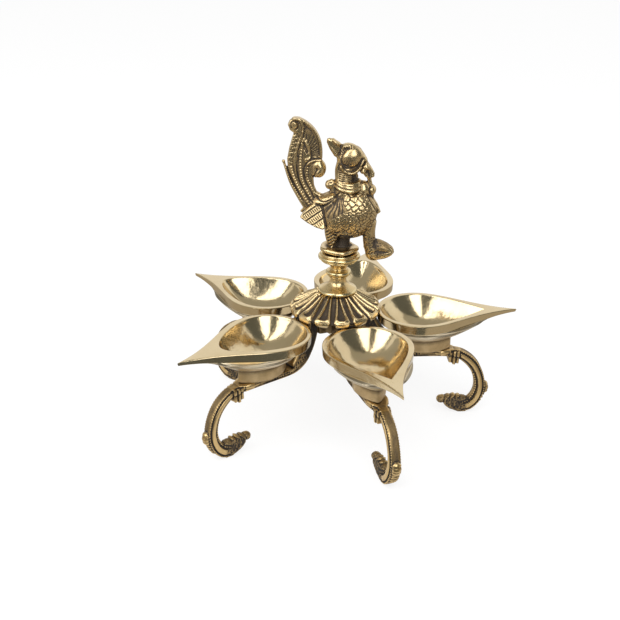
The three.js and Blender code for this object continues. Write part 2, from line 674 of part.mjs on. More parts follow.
// Wings on both sides, pointing back.
function birdWings() {
  const outline = [
    [-20.6, 18.5], [-17, 23.5], [-9, 26.9], [-2, 21.5], [-3, 12.9], [-8.4, 11.9], [-12.4, 13.7],
    [-17, 15.7],
  ];
  return [-1, 1].flatMap((side) => [
    plate(outline, 3.2, 1, side * 4.6),
    tube([[-19, side * 6, 20.1], [-12, side * 6.4, 21.9], [-3, side * 7.6, 21.1]],
      [[0.5, 0.5], [0.9, 0.8], [1, 1]], 5, 3),
    tube([[-15.4, side * 6, 16.3], [-9.6, side * 6.4, 17.1], [-2, side * 7.6, 16.1]],
      [[0.5, 0.5], [0.9, 0.8], [1, 1]], 5, 3),
  ]);
}

function birdLegs() {
  const foot = [
    [13, 4.5], [14, -0.1], [16.4, -3.9], [19.6, -5.1], [23.6, -3.5], [27, -1.9], [28.6, -0.3],
    [26.4, 2.7], [22.8, 5.7], [19, 8.9],
  ];
  return [
    tube([[-3.4, -0.4, 12.5], [-4.2, -0.4, 6.9], [-3.6, -0.4, 1.5]],
      [[4.2, 4], [2.9, 2.8], [1.9, 2]], 7, 3),
    tube([[3, 1.6, 10.5], [2.4, 1.6, 5.9], [2, 1.6, 1.5]],
      [[4.6, 4.6], [4.2, 4.2], [5.4, 5]], 7, 3),
    tube([[15.4, RAISED_LEG_Y, 16.5], [16.2, RAISED_LEG_Y, 10.1], [17, RAISED_LEG_Y, 3.5]],
      [[4, 3.6], [3.4, 3.2], [3.2, 3.2]], 7, 3),
    plate(foot, 8.6, 1.4, RAISED_LEG_Y),
  ];
}

// The figure over its plate, brought from the drawn height to the bird's own.
function figure() {
  const drawn = join([
    ...birdBody(), ...birdHead(), ...breastStrand(), ...birdTail(), ...birdWings(), ...birdLegs(),
  ]);
  const size = BIRD_H / DRAWN_H;
  return solid(meshOf("figure", drawn, antique).geometry.scale(size, size, size));
}

function bird() {
  return join([...lobedPlate(), figure()]);
}

// Assembly

const birdMesh = meshOf("bird", bird(), antique);
birdMesh.position.set(BIRD_OFFSET, 0, STEM_TOP_Z + PLATE_GAP);

const lamp = new THREE.Group();
lamp.add(
  meshOf("hub", hub(), antique),
  meshOf("tie_rod", tieRod(), hardware),
  meshOf("washer", washer(), hardware),
  meshOf("nut", nut(), hardware),
  meshOf("lotus_canopy", lotusCanopy(), antique),
  meshOf("stem", stem(), golden),
  birdMesh,
);

const legSolid = leg();
const bowlSolid = bowl();
const screwSolid = bowlScrew();

// A group that holds one arm's leg, screw and bowl, the bowl turned a little about its screw.
function arm(number, angle, bowlTurn) {
  const bowlMesh = meshOf("bowl_" + number, bowlSolid, polished);
  bowlMesh.position.x = -SEAT_R;
  const pivot = new THREE.Group();
  pivot.position.x = SEAT_R;
  pivot.rotation.z = THREE.MathUtils.degToRad(bowlTurn);
  pivot.add(bowlMesh);
  const whole = new THREE.Group();
  whole.rotation.z = THREE.MathUtils.degToRad(angle);
  whole.add(meshOf("leg_" + number, legSolid, antique));
  whole.add(meshOf("bowl_screw_" + number, screwSolid, hardware));
  whole.add(pivot);
  return whole;
}

ARM_ANGLES.forEach((angle, i) => lamp.add(arm(i + 1, angle, BOWL_TURNS[i])));

// The origin is the middle of the footprint, on the floor.
const extent = new THREE.Box3().setFromObject(lamp, true);
const middle = extent.getCenter(new THREE.Vector3());
lamp.position.set(-middle.x, -middle.y, 0);

const group = new THREE.Group();
group.add(lamp);

export default group;
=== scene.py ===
# %% [markdown]
# # A standing oil lamp in brass
# A ritual lamp with five leaf-shaped oil bowls, five scroll legs, a lotus canopy, a turned stem
# and a bird on top. All of it is cast brass: the bowls are turned and polished, the rest keeps
# a dark patina in its hollows. The CAD frame already holds the true sizes and places, so this
# lesson loads it first and builds finer skins over the faceted solids, one kind of piece a step.

# %% Load the CAD frame
import math

import bpy
import numpy as np
from mathutils import Matrix, Vector


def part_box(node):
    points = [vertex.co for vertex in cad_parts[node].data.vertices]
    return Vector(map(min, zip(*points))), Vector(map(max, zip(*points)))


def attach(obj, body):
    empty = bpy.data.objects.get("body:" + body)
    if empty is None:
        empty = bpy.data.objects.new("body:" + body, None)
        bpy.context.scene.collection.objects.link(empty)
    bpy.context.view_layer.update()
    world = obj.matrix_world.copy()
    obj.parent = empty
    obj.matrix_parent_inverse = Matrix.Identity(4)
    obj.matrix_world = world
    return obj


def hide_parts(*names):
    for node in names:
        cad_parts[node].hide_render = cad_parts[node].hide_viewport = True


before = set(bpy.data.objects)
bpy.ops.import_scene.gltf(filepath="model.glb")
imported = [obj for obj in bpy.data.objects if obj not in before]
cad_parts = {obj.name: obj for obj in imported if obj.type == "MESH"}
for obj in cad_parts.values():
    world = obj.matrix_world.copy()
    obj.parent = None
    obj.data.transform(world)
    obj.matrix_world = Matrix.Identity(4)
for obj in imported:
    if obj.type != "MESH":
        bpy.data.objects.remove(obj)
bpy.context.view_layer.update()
MM = 0.001
print("nodes:", len(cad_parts))

# %% [markdown]
# ## The middle and the arms
# The lamp was put together by hand, so its arms are a little off an even fifth of a turn.
# Their true angles are read from the frame: every arm has a screw under its bowl, and the tie
# rod runs up the middle of the stem.

# %% Where the middle and the arms are
def middle_of(node):
    low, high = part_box(node)
    return (low + high) / 2


AXIS = middle_of("tie_rod")
AXIS.z = 0
ARMS = [1, 2, 3, 4, 5]
arm_angle = {}
for k in ARMS:
    away = middle_of(f"bowl_screw_{k}") - AXIS
    arm_angle[k] = math.atan2(away.y, away.x)
BOWL_TURN = {1: 0.0, 2: 0.0, 3: 0.0, 4: 0.0, 5: math.radians(-5)}  # each bowl can turn on its screw
SEAT_R = 49.5  # mm from the axis to a bowl's screw
print("axis", [round(v, 4) for v in AXIS])
print("arms", {k: round(math.degrees(a), 1) for k, a in arm_angle.items()})


def arm_place(k):
    return Matrix.Translation(AXIS) @ Matrix.Rotation(arm_angle[k], 4, "Z")


def bowl_place(k):
    pivot = Vector((SEAT_R * MM, 0, 0))
    turn = Matrix.Rotation(BOWL_TURN[k], 4, "Z")
    return arm_place(k) @ Matrix.Translation(pivot) @ turn @ Matrix.Translation(-pivot)


# %% [markdown]
# ## The camera
# The camera comes next, because every later step is judged through it. It stands in front of
# the lamp, above it, and looks down by a little less than 25 degrees.

# %% Camera
def linked(name, data):
    """A new object in the scene."""
    obj = bpy.data.objects.new(name, data)
    bpy.context.scene.collection.objects.link(obj)
    return obj


LOOK_DOWN = math.radians(24.33)
camera = linked("camera", bpy.data.cameras.new("camera"))
camera.data.lens = 55.5
camera.data.clip_start = 0.01
camera.location = AXIS + Vector((-13.85, -477.0, 280.1)) * MM
camera.rotation_euler = (math.pi / 2 - LOOK_DOWN, 0, 0)
bpy.context.scene.camera = camera
bpy.context.scene.view_settings.view_transform = "Standard"

# %% [markdown]
# ## The studio
# Polished metal shows its surroundings, so the studio is part of its look. Two tall softboxes
# light the lamp from the camera's side. What the brass mirrors is built from big cards round
# it: two bright ones in front, a dark wall beside and between them, a grey wall at the left and
# behind, a floor that is dark in front and tan elsewhere, and a grey ceiling. Where there is no
# card the brass mirrors the white backdrop. The camera itself never sees a card.

# %% Node helpers
def add_node(tree, kind, values=None, **settings):
    node = tree.nodes.new("ShaderNode" + kind)
    for name, value in settings.items():
        setattr(node, name, value)
    for name, value in (values or {}).items():
        if isinstance(value, bpy.types.NodeSocket):
            tree.links.new(value, node.inputs[name])
        else:
            node.inputs[name].default_value = value
    return node


def remapped(tree, value, source=(0.0, 1.0), target=(0.0, 1.0)):
    """One range of values stretched to another, and clamped to it."""
    ranges = dict(zip(("From Min", "From Max", "To Min", "To Max"), (*source, *target)))
    return add_node(tree, "MapRange", {"Value": value, **ranges}).outputs[0]


def worked_out(tree, operation, a, b, **settings):
    return add_node(tree, "Math", {0: a, 1: b}, operation=operation, **settings).outputs[0]


def empty_material(name):
    made = bpy.data.materials.new(name)
    made.use_nodes = True
    made.node_tree.nodes.clear()
    return made


def shown_by(tree, shader):
    add_node(tree, "OutputMaterial", {"Surface": shader.outputs[0]})


# %% Backdrop: white to the camera and in reflections, dimmer as a light
WORLD_LIGHT = 0.75
world = bpy.data.worlds.new("studio")
world.use_nodes = True
tree = world.node_tree
tree.nodes.clear()
path = add_node(tree, "LightPath")
shown = worked_out(tree, "ADD", path.outputs["Is Camera Ray"], path.outputs["Is Glossy Ray"])
shown = worked_out(tree, "ADD", shown, path.outputs["Is Transmission Ray"], use_clamp=True)
strength = remapped(tree, shown, target=(WORLD_LIGHT, 1.0))
white = add_node(tree, "Background", {"Color": (1, 1, 1, 1), "Strength": strength})
add_node(tree, "OutputWorld", {"Surface": white.outputs[0]})
bpy.context.scene.world = world


# %% Softboxes
MIDDLE = AXIS + Vector((0, 0, 0.06))  # about the middle of the lamp


def from_middle(azimuth, elevation, distance):
    """A place seen from the lamp: azimuth 0 is towards the camera, positive to its right."""
    a, e = math.radians(azimuth), math.radians(elevation)
    flat = Vector((math.sin(a) * math.cos(e), -math.cos(a) * math.cos(e), math.sin(e)))
    return MIDDLE + flat * distance


def softbox(name, azimuth, elevation, distance, wide, tall, brightness):
    lamp = bpy.data.lights.new(name, "AREA")
    lamp.shape = "RECTANGLE"
    lamp.size, lamp.size_y = wide, tall
    lamp.energy = brightness * math.pi * wide * tall
    obj = linked(name, lamp)
    obj.location = from_middle(azimuth, elevation, distance)
    obj.rotation_euler = (MIDDLE - obj.location).to_track_quat("-Z", "Y").to_euler()
    obj.visible_camera = obj.visible_glossy = False


for name, azimuth in [("softbox_left", -54), ("softbox_right", 10)]:
    softbox(name, azimuth, elevation=45, distance=1.3, wide=0.8, tall=1.5, brightness=2.2)


# %% Cards, seen only in reflections
def card(name, vertices, faces, colour, brightness=1.0):
    mesh = bpy.data.meshes.new(name)
    mesh.from_pydata(vertices, [], faces)
    obj = linked(name, mesh)
    finish = empty_material(name)
    tree = finish.node_tree
    shown_by(tree, add_node(tree, "Emission", {"Color": (*colour, 1), "Strength": brightness}))
    mesh.materials.append(finish)
    obj.visible_camera = obj.visible_diffuse = obj.visible_shadow = False
    obj.visible_transmission = obj.visible_volume_scatter = False


DARK_GREY, MID_GREY, TAN = (0.13, 0.14, 0.14), (0.42, 0.42, 0.40), (0.46, 0.42, 0.36)


def shell(azimuths, elevations, distance):
    """Corners and faces of a patch of a big ball round the lamp."""
    corners = [tuple(from_middle(a, e, distance)) for e in elevations for a in azimuths]
    n = len(azimuths)
    quads = [(i + j * n, i + 1 + j * n, i + 1 + (j + 1) * n, i + (j + 1) * n)
             for j in range(len(elevations) - 1) for i in range(n - 1)]
    return corners, quads


def flat_ring(inner, outer, height, first=0, last=360, steps=48):
    """Part of a flat ring, between two azimuths."""
    azimuths = np.linspace(math.radians(first), math.radians(last), steps + 1)
    corners = [(r * math.sin(a), -r * math.cos(a), height)
               for r in (inner, outer) for a in azimuths]
    quads = [(i, i + 1, i + steps + 2, i + steps + 1) for i in range(steps)]
    return [tuple(Vector(p) + AXIS) for p in corners], quads


WHITE, FRONT_GLOW = (1.0, 1.0, 1.0), 3.1
ROOM_R, CEILING_Z = 1.5, 1.7
CARD_LIFT = 0.0004  # keeps the floor's cards just off the floor
for name, first, last in [("front_left", -72, -35), ("front_right", -9, 29)]:
    card(name, *shell(np.linspace(first, last, 8), np.linspace(12, 82, 12), 1.4), WHITE, FRONT_GLOW)
card("dark_front", *shell(range(-80, 89, 12), range(-2, 83, 12), 1.6), DARK_GREY)
card("grey_wall", *shell(np.linspace(-156, -92, 12), np.linspace(8, 64, 10), ROOM_R), MID_GREY)
card("dark_floor", *flat_ring(0.1, ROOM_R, CARD_LIFT, -32, 30), DARK_GREY)
card("tan_floor", *flat_ring(0.1, ROOM_R, CARD_LIFT, 30, 328), TAN)
card("grey_ceiling", *flat_ring(0.001, ROOM_R, CEILING_Z), MID_GREY)

# %% Floor: pale paper that glows a little to the camera and still takes the lamp's shadow
FLOOR_HALF = 3.0
corners = [(x * FLOOR_HALF, y * FLOOR_HALF, 0) for x, y in [(-1, -1), (1, -1), (1, 1), (-1, 1)]]
floor_mesh = bpy.data.meshes.new("floor")
floor_mesh.from_pydata(corners, [], [(0, 1, 2, 3)])
floor = linked("floor", floor_mesh)
floor_white = empty_material("floor_white")
tree = floor_white.node_tree
path = add_node(tree, "LightPath")
paper = add_node(tree, "BsdfDiffuse", {"Color": (0.22, 0.22, 0.22, 1)})
glow = add_node(tree, "Emission", {"Color": (1, 1, 1, 1), "Strength": 0.8})
glowing = add_node(tree, "AddShader", {0: paper.outputs[0], 1: glow.outputs[0]})
pale = add_node(tree, "BsdfDiffuse", {"Color": (0.8, 0.8, 0.8, 1)})
shown_by(tree, add_node(tree, "MixShader", {"Fac": path.outputs["Is Camera Ray"],
                                            1: pale.outputs[0],
                                            2: glowing.outputs[0]}))
floor_mesh.materials.append(floor_white)


# %% [markdown]
# ## Brass in four finishes
# On the real lamp the bowls were polished to a mirror, their undersides left satin from the
# lathe and their feet as they came out of the mould. The hub is painted dark for the shade
# under the canopy, and the bowls get painted shade under their rims, in their grooves and at
# their feet. A picture of brass could be wrapped round the pieces, but nodes need no picture and
# stay sharp from near: two tones of brass in soft clouds, a fine grain in the roughness, and
# small dents.

# %% Finishes
# The colour of the painted shade that darkens the bowls under their rims, in grooves and at their
# feet
PAINTED_SHADE_COLOUR = (0.05, 0.038, 0.025)
NOISE_RANGE = (0.3, 0.7)  # most of what a noise texture gives lies in it


def stored(tree, name, output="Fac"):
    return add_node(tree, "Attribute", attribute_name=name).outputs[output]


def noise(tree, place, scale, detail):
    return add_node(tree, "TexNoise", {"Vector": place, "Scale": scale,
                                       "Detail": detail}).outputs["Fac"]


def mixed(tree, share, a, b):
    return add_node(tree, "Mix", {0: share, 6: a, 7: b}, data_type="RGBA").outputs[2]


def metal(name, colour, dark, roughness, spread, grain, bump, stretch=(1, 1, 1), wave=0.0,
          metallic=1.0, patches=60.0):
    """Brass in two tones with a grain; a stored number per vertex darkens it with painted shade."""
    made = empty_material(name)
    tree = made.node_tree
    place = stored(tree, "drawn", "Vector")
    cloud = noise(tree, place, patches, 4.0)
    tone = mixed(tree, remapped(tree, cloud, (0.35, 0.65)), (*dark, 1), (*colour, 1))
    drawn = add_node(tree, "Mapping", {"Vector": place, "Scale": stretch}).outputs[0]
    fine = noise(tree, drawn, grain, 3.0)
    uneven = remapped(tree, fine, NOISE_RANGE, (0.75, 1.05))
    # The painted shade, a little uneven, mixes the brass towards the dark colour
    shaded = worked_out(tree, "MULTIPLY", stored(tree, "painted_shade"), uneven, use_clamp=True)
    rough = remapped(tree, fine, NOISE_RANGE, (roughness - spread, roughness + spread))
    swell = add_node(tree, "Bump", {"Height": cloud, "Strength": wave, "Distance": 0.001})
    dent = add_node(tree, "Bump", {"Height": fine, "Strength": bump, "Distance": 0.0001,
                                   "Normal": swell.outputs[0]})
    shown_by(tree, add_node(tree, "BsdfPrincipled", {
        "Base Color": mixed(tree, shaded, tone, (*PAINTED_SHADE_COLOUR, 1)), "Metallic": metallic,
        "Roughness": rough, "Normal": dent.outputs[0]}))
    return made


polished_brass = metal("polished_brass", (0.71, 0.575, 0.35), (0.65, 0.51, 0.295), 0.16, 0.05,
                       900.0, 0.08, stretch=(0.2, 1.6, 1.6), wave=0.5)
satin_brass = metal("satin_brass", (0.80, 0.69, 0.50), (0.70, 0.58, 0.37), 0.36, 0.06, 2500.0, 0.2)
cast_brass = metal("cast_brass", (0.62, 0.45, 0.235), (0.45, 0.315, 0.15), 0.42, 0.12, 1300.0, 0.7,
                   wave=0.3, metallic=0.6, patches=180.0)
# The hub's brass: a darker copy, painted shade for its place under the canopy
shade_dark_brass = metal("shade_dark_brass", (0.24, 0.17, 0.09), (0.12, 0.085, 0.045), 0.42, 0.1, 2500.0, 0.3)

# %% [markdown]
# ## The bowls
# Each bowl is one casting, turned and polished inside. Its rim is a leaf with a round back and
# a pointed spout. The skin is a stack of closed rings with equally many points, from the middle
# of the hollow out over the rim and down to the foot, which gives clean quads all over.

# %% Outline of a leaf
SIDE_POINTS = 48
ROUND_POINTS = 18  # of them, round the back


def leaf_side(back, end, half, round_share, handles):
    """(r, y) points along one side, from the back to the spout."""
    t = np.linspace(0, math.pi / 2, ROUND_POINTS + 1)
    share = list(round_share * (1 - np.cos(t)))
    wide = list(np.sin(t))
    p0, p1, p2, p3 = (np.array(p) for p in [(round_share, 1), *handles, (1, 0)])
    for s in np.linspace(0, 1, SIDE_POINTS - ROUND_POINTS + 1)[1:]:
        p = (1 - s) ** 3 * p0 + 3 * s * (1 - s) ** 2 * p1 + 3 * s * s * (1 - s) * p2 + s ** 3 * p3
        share.append(p[0])
        wide.append(p[1])
    return np.column_stack([back + (end - back) * np.array(share), half * np.array(wide)])


def boat_side(back, end, half):
    a = math.pi * (1 - np.arange(SIDE_POINTS + 1) / SIDE_POINTS)
    sharper = 1 - 0.2 * np.maximum(0, np.cos(a))
    return np.column_stack([(back + end) / 2 + (end - back) / 2 * np.cos(a),
                            half * np.sin(a) * sharper])


def lens_side(back, end, half):
    """A boat that ends in a corner, as the bowl's foot does."""
    boat = boat_side(back, end, half)
    share = (boat[:, 0] - back) / (end - back)
    boat[:, 1] = 0.45 * boat[:, 1] + 0.55 * half * 4 * share * (1 - share)
    return boat


def closed(side, z):
    """A closed ring from one side: out along +y and back along -y."""
    z = np.broadcast_to(z, len(side))
    left = np.column_stack([side, z])
    right = left[1:-1][::-1] * (1, -1, 1)
    return np.vstack([left, right])


def through(points, steps):
    """A smooth curve through the points, with equal steps between each two."""
    p = np.array(points, float)
    p = np.vstack([p[:1], p, p[-1:]])
    t = np.linspace(0, len(p) - 3, steps + 1)
    i = np.minimum(t.astype(int), len(p) - 4)
    u = (t - i)[:, None]
    a, b, c, d = p[i], p[i + 1], p[i + 2], p[i + 3]
    return 0.5 * (2 * b + (c - a) * u + (2 * a - 5 * b + 4 * c - d) * u ** 2
                  + (3 * b - a - 3 * c + d) * u ** 3)


# %% Rings of a bowl, in millimetres
TIP_R, BACK_R, HALF, HOLLOW_DEEP = 100.0, 23.0, 23.4, 13.7
RIM_Z, TIP_DROP = 64.2, 0.6
STRAP_TOP_Z = 41.3


def rim_side(inset):
    return leaf_side(BACK_R + inset, TIP_R - inset * 1.6, HALF - inset, 0.293,
                     [(0.50, 1), (0.64, 0.28)])


# Each hollow was finished by hand: two run out to a point, one stops short and blunt. Each is
# where the hollow ends, and the two handles of the curve that leads there.
POINTED, BLUNT = (82.5, [(0.58, 1), (0.86, 0.30)]), (74.5, [(0.60, 1), (1.0, 0.46)])
USUAL = (78.0, [(0.58, 1), (1.0, 0.36)])
HOLLOW_END = {1: POINTED, 2: USUAL, 3: USUAL, 4: BLUNT, 5: POINTED}
RIM_AT_BACK, RIM_AT_SIDE = 1.9, 3.0  # how wide the flat rim is


def hollow_side(scale, k):
    back, (end, handles) = BACK_R + RIM_AT_BACK, HOLLOW_END[k]
    deepest = back + 0.43 * (end - back)
    return leaf_side(deepest + (back - deepest) * scale, deepest + (end - deepest) * scale,
                     (HALF - RIM_AT_SIDE) * scale, 0.374, handles)


def smooth_step(r, low, high):
    t = np.clip((r - low) / (high - low), 0, 1)
    return t * t * (3 - 2 * t)


def spoutward(r):
    return smooth_step(r, 62.0, 106.0)


BAND_TALL, BAND_TALL_AT_TIP, EDGE_ROUND = 5.1, 2.1, 0.42


def rim_top(side):
    return RIM_Z - TIP_DROP * spoutward(side[:, 0])


def band_bottom(side):
    return RIM_Z - (BAND_TALL + (BAND_TALL_AT_TIP - BAND_TALL) * spoutward(side[:, 0]))


def hollow_depth(scale):
    return HOLLOW_DEEP * (1 - scale ** 2.7) ** 0.9


def bowl_rings(k):
    """Rings out of the hollow, over the rim and down the band, and the band's lower edge."""
    rings = []

    def ring(side, drop):
        rings.append(closed(side, rim_top(side) - drop))

    for scale in [0.02, *np.linspace(0.08, 0.8, 19), *np.linspace(0.83, 0.962, 9)]:
        ring(hollow_side(scale, k), hollow_depth(scale))
    lip = hollow_depth(0.962)
    for scale, share in [(0.974, 0.6), (0.984, 0.3), (0.993, 0.1), (1.002, 0.02), (1.012, 0.0)]:
        ring(hollow_side(scale, k), lip * share)
    inner, outer = hollow_side(1.02, k), rim_side(0.45)
    for share in (0.0, 0.3, 0.65, 1.0):
        ring(inner + (outer - inner) * share, 0)
    for inset, drop in [(0.2, 0.06), (0.04, 0.2), (0.0, EDGE_ROUND)]:
        ring(rim_side(inset), drop)
    for share in (0.03, 0.35, 0.7, 0.9, 0.94):
        side = rim_side(0.3 * share)
        high = rim_top(side) - EDGE_ROUND
        rings.append(closed(side, high + (band_bottom(side) - high) * share))
    side = rim_side(0.45)
    low = band_bottom(side)
    rings.append(closed(side, low))
    return rings, side, low


# The body under the band: [share down, share in at the back and sides, share in at the end]
BODY = np.array([[0, 0, 0], [0.235, 0.09, 0.25], [0.618, 0.44, 0.63], [1, 1, 1]])
GROOVES, GROOVE_WIDE, GROOVE_DEEP = [0.15, 0.225, 0.30], 0.019, 0.45
BODY_TOP = np.array([26.6, 82.0, 20.4])  # back, end and half width under the band
BODY_LOW = np.array([34.4, 65.1, 9.0])  # the same above the foot
BODY_TOP_Z, BODY_LOW_Z = RIM_Z - 5.6, 48.4
FOOT = [(-0.15, 48.2), (0.0, 47.9), (0.05, 45.5), (0.35, 41.7), (0.25, STRAP_TOP_Z),
        (-4.0, STRAP_TOP_Z)]  # [how much wider than the neck, height]


def body_rings(band_side, band_low):
    """Rings down to the foot, and how much painted shade darkens each."""
    rings, painted_shade = [], []
    # Painted shade under the band's overhang
    for share in (0.45, 0.8, 0.97):
        side = band_side + (boat_side(*BODY_TOP) - band_side) * share
        rings.append(closed(side, band_low + (BODY_TOP_Z - band_low) * share ** 1.5))
        painted_shade.append(0.8 - 0.2 * share)
    curve = through(BODY, 60)
    for down in [*np.arange(0, 0.37, 0.011), *np.linspace(0.38, 1, 18)]:
        inward, outer_in = (np.interp(down, curve[:, 0], curve[:, i]) for i in (1, 2))
        size = BODY_TOP + (BODY_LOW - BODY_TOP) * np.array([inward, outer_in, inward])
        cut = GROOVE_DEEP * sum(math.exp(-((down - g) / GROOVE_WIDE) ** 2) for g in GROOVES)
        size += np.array([cut, -cut, -cut])
        rings.append(closed(boat_side(*size), BODY_TOP_Z + (BODY_LOW_Z - BODY_TOP_Z) * down))
        # Painted shade in the grooves and towards the foot
        painted_shade.append(min(1, cut * 2.2 + 0.5 * smooth_step(down, 0.9, 1.0)))
    # Painted shade on the foot's top under the body and at its bottom where it meets the strap; the
    # seat ring gets it too
    for spread, z in FOOT:
        rings.append(closed(lens_side(34.4 - spread * 0.2, 64.6 + spread * 0.2, 8 + spread), z))
        painted_shade.append(0.8 if z > 47 else 0.08 if z > STRAP_TOP_Z + 0.2 else 0.7)
    rings.append(closed(boat_side(SEAT_R - 1, SEAT_R + 1, 0.5), STRAP_TOP_Z))
    return rings, painted_shade + [0.8]


# %% Turn a stack of rings into a mesh object
def skin(rings):
    """Vertices and faces of a closed skin: quads between rings, and a face over each end."""
    n = len(rings[0])
    i = np.arange(n)
    j = (i + 1) % n
    quads = [np.column_stack([k * n + i, k * n + j, (k + 1) * n + j, (k + 1) * n + i])
             for k in range(len(rings) - 1)]
    faces = [tuple(int(v) for v in q) for q in np.vstack(quads)]
    faces.append(tuple(int(v) for v in i[::-1]))
    faces.append(tuple(int(v) for v in (len(rings) - 1) * n + i))
    return np.vstack(rings), faces


def read(items, field, width, kind=float):
    """One property of every vertex, edge or triangle, a row of an array for each."""
    values = np.empty(len(items) * width, kind)
    items.foreach_get(field, values)
    return values.reshape(-1, width)


def store(mesh, name, values):
    """Keeps a number per vertex with the mesh, for its finish to read."""
    mesh.attributes.new(name, "FLOAT", "POINT").data.foreach_set("value", values.astype(np.float32))


def put(mesh, place):
    """Moves a mesh to its place; the finish still follows where every point was drawn."""
    drawn = mesh.attributes.new("drawn", "FLOAT_VECTOR", "POINT")
    drawn.data.foreach_set("vector", read(mesh.vertices, "co", 3, np.float32).ravel())
    mesh.transform(place)


def outward(mesh):
    """Turns all faces over if the closed mesh is inside out."""
    mesh.calc_loop_triangles()
    corners = read(mesh.vertices, "co", 3)[read(mesh.loop_triangles, "vertices", 3, int)]
    a, b, c = corners.transpose(1, 0, 2)
    if np.einsum("ij,ij->i", a, np.cross(b, c)).sum() < 0:
        mesh.flip_normals()


def dressed(mesh, name, materials, slot, replaced, place):
    """A mesh made a piece of the lamp: finished, in its place, and known to the frame."""
    mesh.materials.clear()
    for m in materials:
        mesh.materials.append(m)
    obj = linked(name, mesh)
    put(mesh, place)
    mesh.shade_smooth()
    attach(obj, "root")
    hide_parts(*replaced)
    return obj


def piece(name, vertices, faces, materials, slot, replaced, place=None, smooth=40):
    """A piece from millimetres, smooth but for edges sharper than the given angle."""
    mesh = bpy.data.meshes.new(name)
    mesh.from_pydata((np.asarray(vertices) * MM).tolist(), [], faces)
    obj = dressed(mesh, name, materials, slot, replaced,
                  Matrix.Translation(AXIS) if place is None else place)
    outward(mesh)
    if smooth:
        mesh.set_sharp_from_angle(angle=math.radians(smooth))
    return obj


# %% Five bowls
POLISHED, SATIN, AS_CAST = 0, 1, 2  # the bowl's finishes: hollow and band, body, foot


def make_bowl(k):
    top, band_side, band_low = bowl_rings(k)
    body, painted_shade = body_rings(band_side, band_low)
    rings = top + body
    vertices, faces = skin(rings)
    made = piece(f"bowl_skin_{k}", vertices, faces, [polished_brass, satin_brass, cast_brass],
                 "polished_brass", [f"bowl_{k}"], bowl_place(k), smooth=35)
    n = len(rings[0])
    row = np.array([*np.repeat(np.arange(len(rings) - 1), n), 0, len(rings)])
    foot_row = len(rings) - len(FOOT) - 2
    finish = np.where(row < len(top) - 1, POLISHED, np.where(row < foot_row, SATIN, AS_CAST))
    made.data.polygons.foreach_set("material_index", finish)
    # Painted shade, ring by ring, for the finish to read
    store(made.data, "painted_shade", np.repeat([0.0] * len(top) + painted_shade, n))
    return made


bowls = [make_bowl(k) for k in ARMS]
print("bowl vertices:", len(bowls[0].data.vertices))

# %% [markdown]
# ## Antique brass
# The legs, the canopy and the bird were darkened and then buffed: the high places shine and
# the low ones stay dark. To know which is which, every vertex gets a number that says how deep
# it lies against its smoothed surroundings, and the material reads that number. In a few
# places painted shade and painted highlights are added to that number.

# %% How deep each vertex lies
def vertex_arrays(mesh):
    """Places in mm, and normals."""
    return read(mesh.vertices, "co", 3) / MM, read(mesh.vertices, "normal", 3)


def blurred(values, edges, rounds):
    """Each vertex's value averaged with its neighbours', again and again."""
    n = len(values)
    a, b = edges[:, 0], edges[:, 1]
    count = np.bincount(a, minlength=n) + np.bincount(b, minlength=n) + 1.0
    for _ in range(rounds):
        columns = [np.bincount(a, c[b], n) + np.bincount(b, c[a], n) + c for c in values.T]
        values = np.column_stack(columns) / count[:, None]
    return values


RECESS_LEVELS = ((4, 0.06), (16, 0.22), (60, 0.7))  # rounds of smoothing, and the depth in mm there


def mark_recesses(mesh, levels=RECESS_LEVELS, stain_and_light=0.0):
    """Stores 0 on the ridges to 1 in the deepest places, from a few widths of smoothing."""
    co, normals = vertex_arrays(mesh)
    edges = read(mesh.edges, "vertices", 2, int)
    depth = np.zeros(len(co))
    smooth, done = co, 0
    for rounds, size in levels:
        smooth = blurred(smooth, edges, rounds - done)
        done = rounds
        depth += np.clip(np.einsum("ij,ij->i", smooth - co, normals) / size, -1, 1) / len(levels)
    store(mesh, "patina_and_light", 0.5 + 0.5 * depth + stain_and_light)


def recesses(mesh):
    return read(mesh.attributes["patina_and_light"].data, "value", 1, np.float32).ravel()


# %% The material that reads it
def patina(name, bright, middle, dark, polish):
    """Bright on the ridges, dark and rougher in the recesses; polish is the ridges' roughness."""
    made = empty_material(name)
    tree = made.node_tree
    place = stored(tree, "drawn", "Vector")
    fine = noise(tree, place, 2200.0, 3.0)
    patch = remapped(tree, noise(tree, place, 220.0, 5.0), NOISE_RANGE, (-0.09, 0.09))
    speckle = remapped(tree, fine, NOISE_RANGE, (-0.07, 0.07))
    uneven = worked_out(tree, "ADD", patch, speckle)
    # The stored number is patina depth, with painted shade and highlights added in places
    deep = worked_out(tree, "ADD", stored(tree, "patina_and_light"), uneven)
    ramp = add_node(tree, "ValToRGB", {"Fac": deep})
    stops = ramp.color_ramp.elements
    stops[0].position, stops[0].color = 0.30, (*bright, 1)
    stops[1].position, stops[1].color = 0.78, (*dark, 1)
    half = stops.new(0.52)
    half.color = (*middle, 1)
    dent = add_node(tree, "Bump", {"Height": fine, "Strength": 0.5, "Distance": 0.00012})
    shown_by(tree, add_node(tree, "BsdfPrincipled", {
        "Base Color": ramp.outputs["Color"],
        "Metallic": remapped(tree, deep, (0.5, 0.8), (1.0, 0.35)),
        "Roughness": remapped(tree, deep, (0.35, 0.7), (polish, 0.62)),
        "Normal": dent.outputs[0]}))
    return made


carved_brass = patina("carved_brass", (0.68, 0.52, 0.28), (0.40, 0.28, 0.135), (0.045, 0.032, 0.02),
                      polish=0.24)
aged_gold = patina("aged_gold", (0.76, 0.62, 0.34), (0.68, 0.50, 0.24), (0.06, 0.045, 0.025),
                   polish=0.17)
brown_brass = patina("brown_brass", (0.66, 0.47, 0.22), (0.34, 0.235, 0.11), (0.03, 0.022, 0.015),
                     polish=0.3)

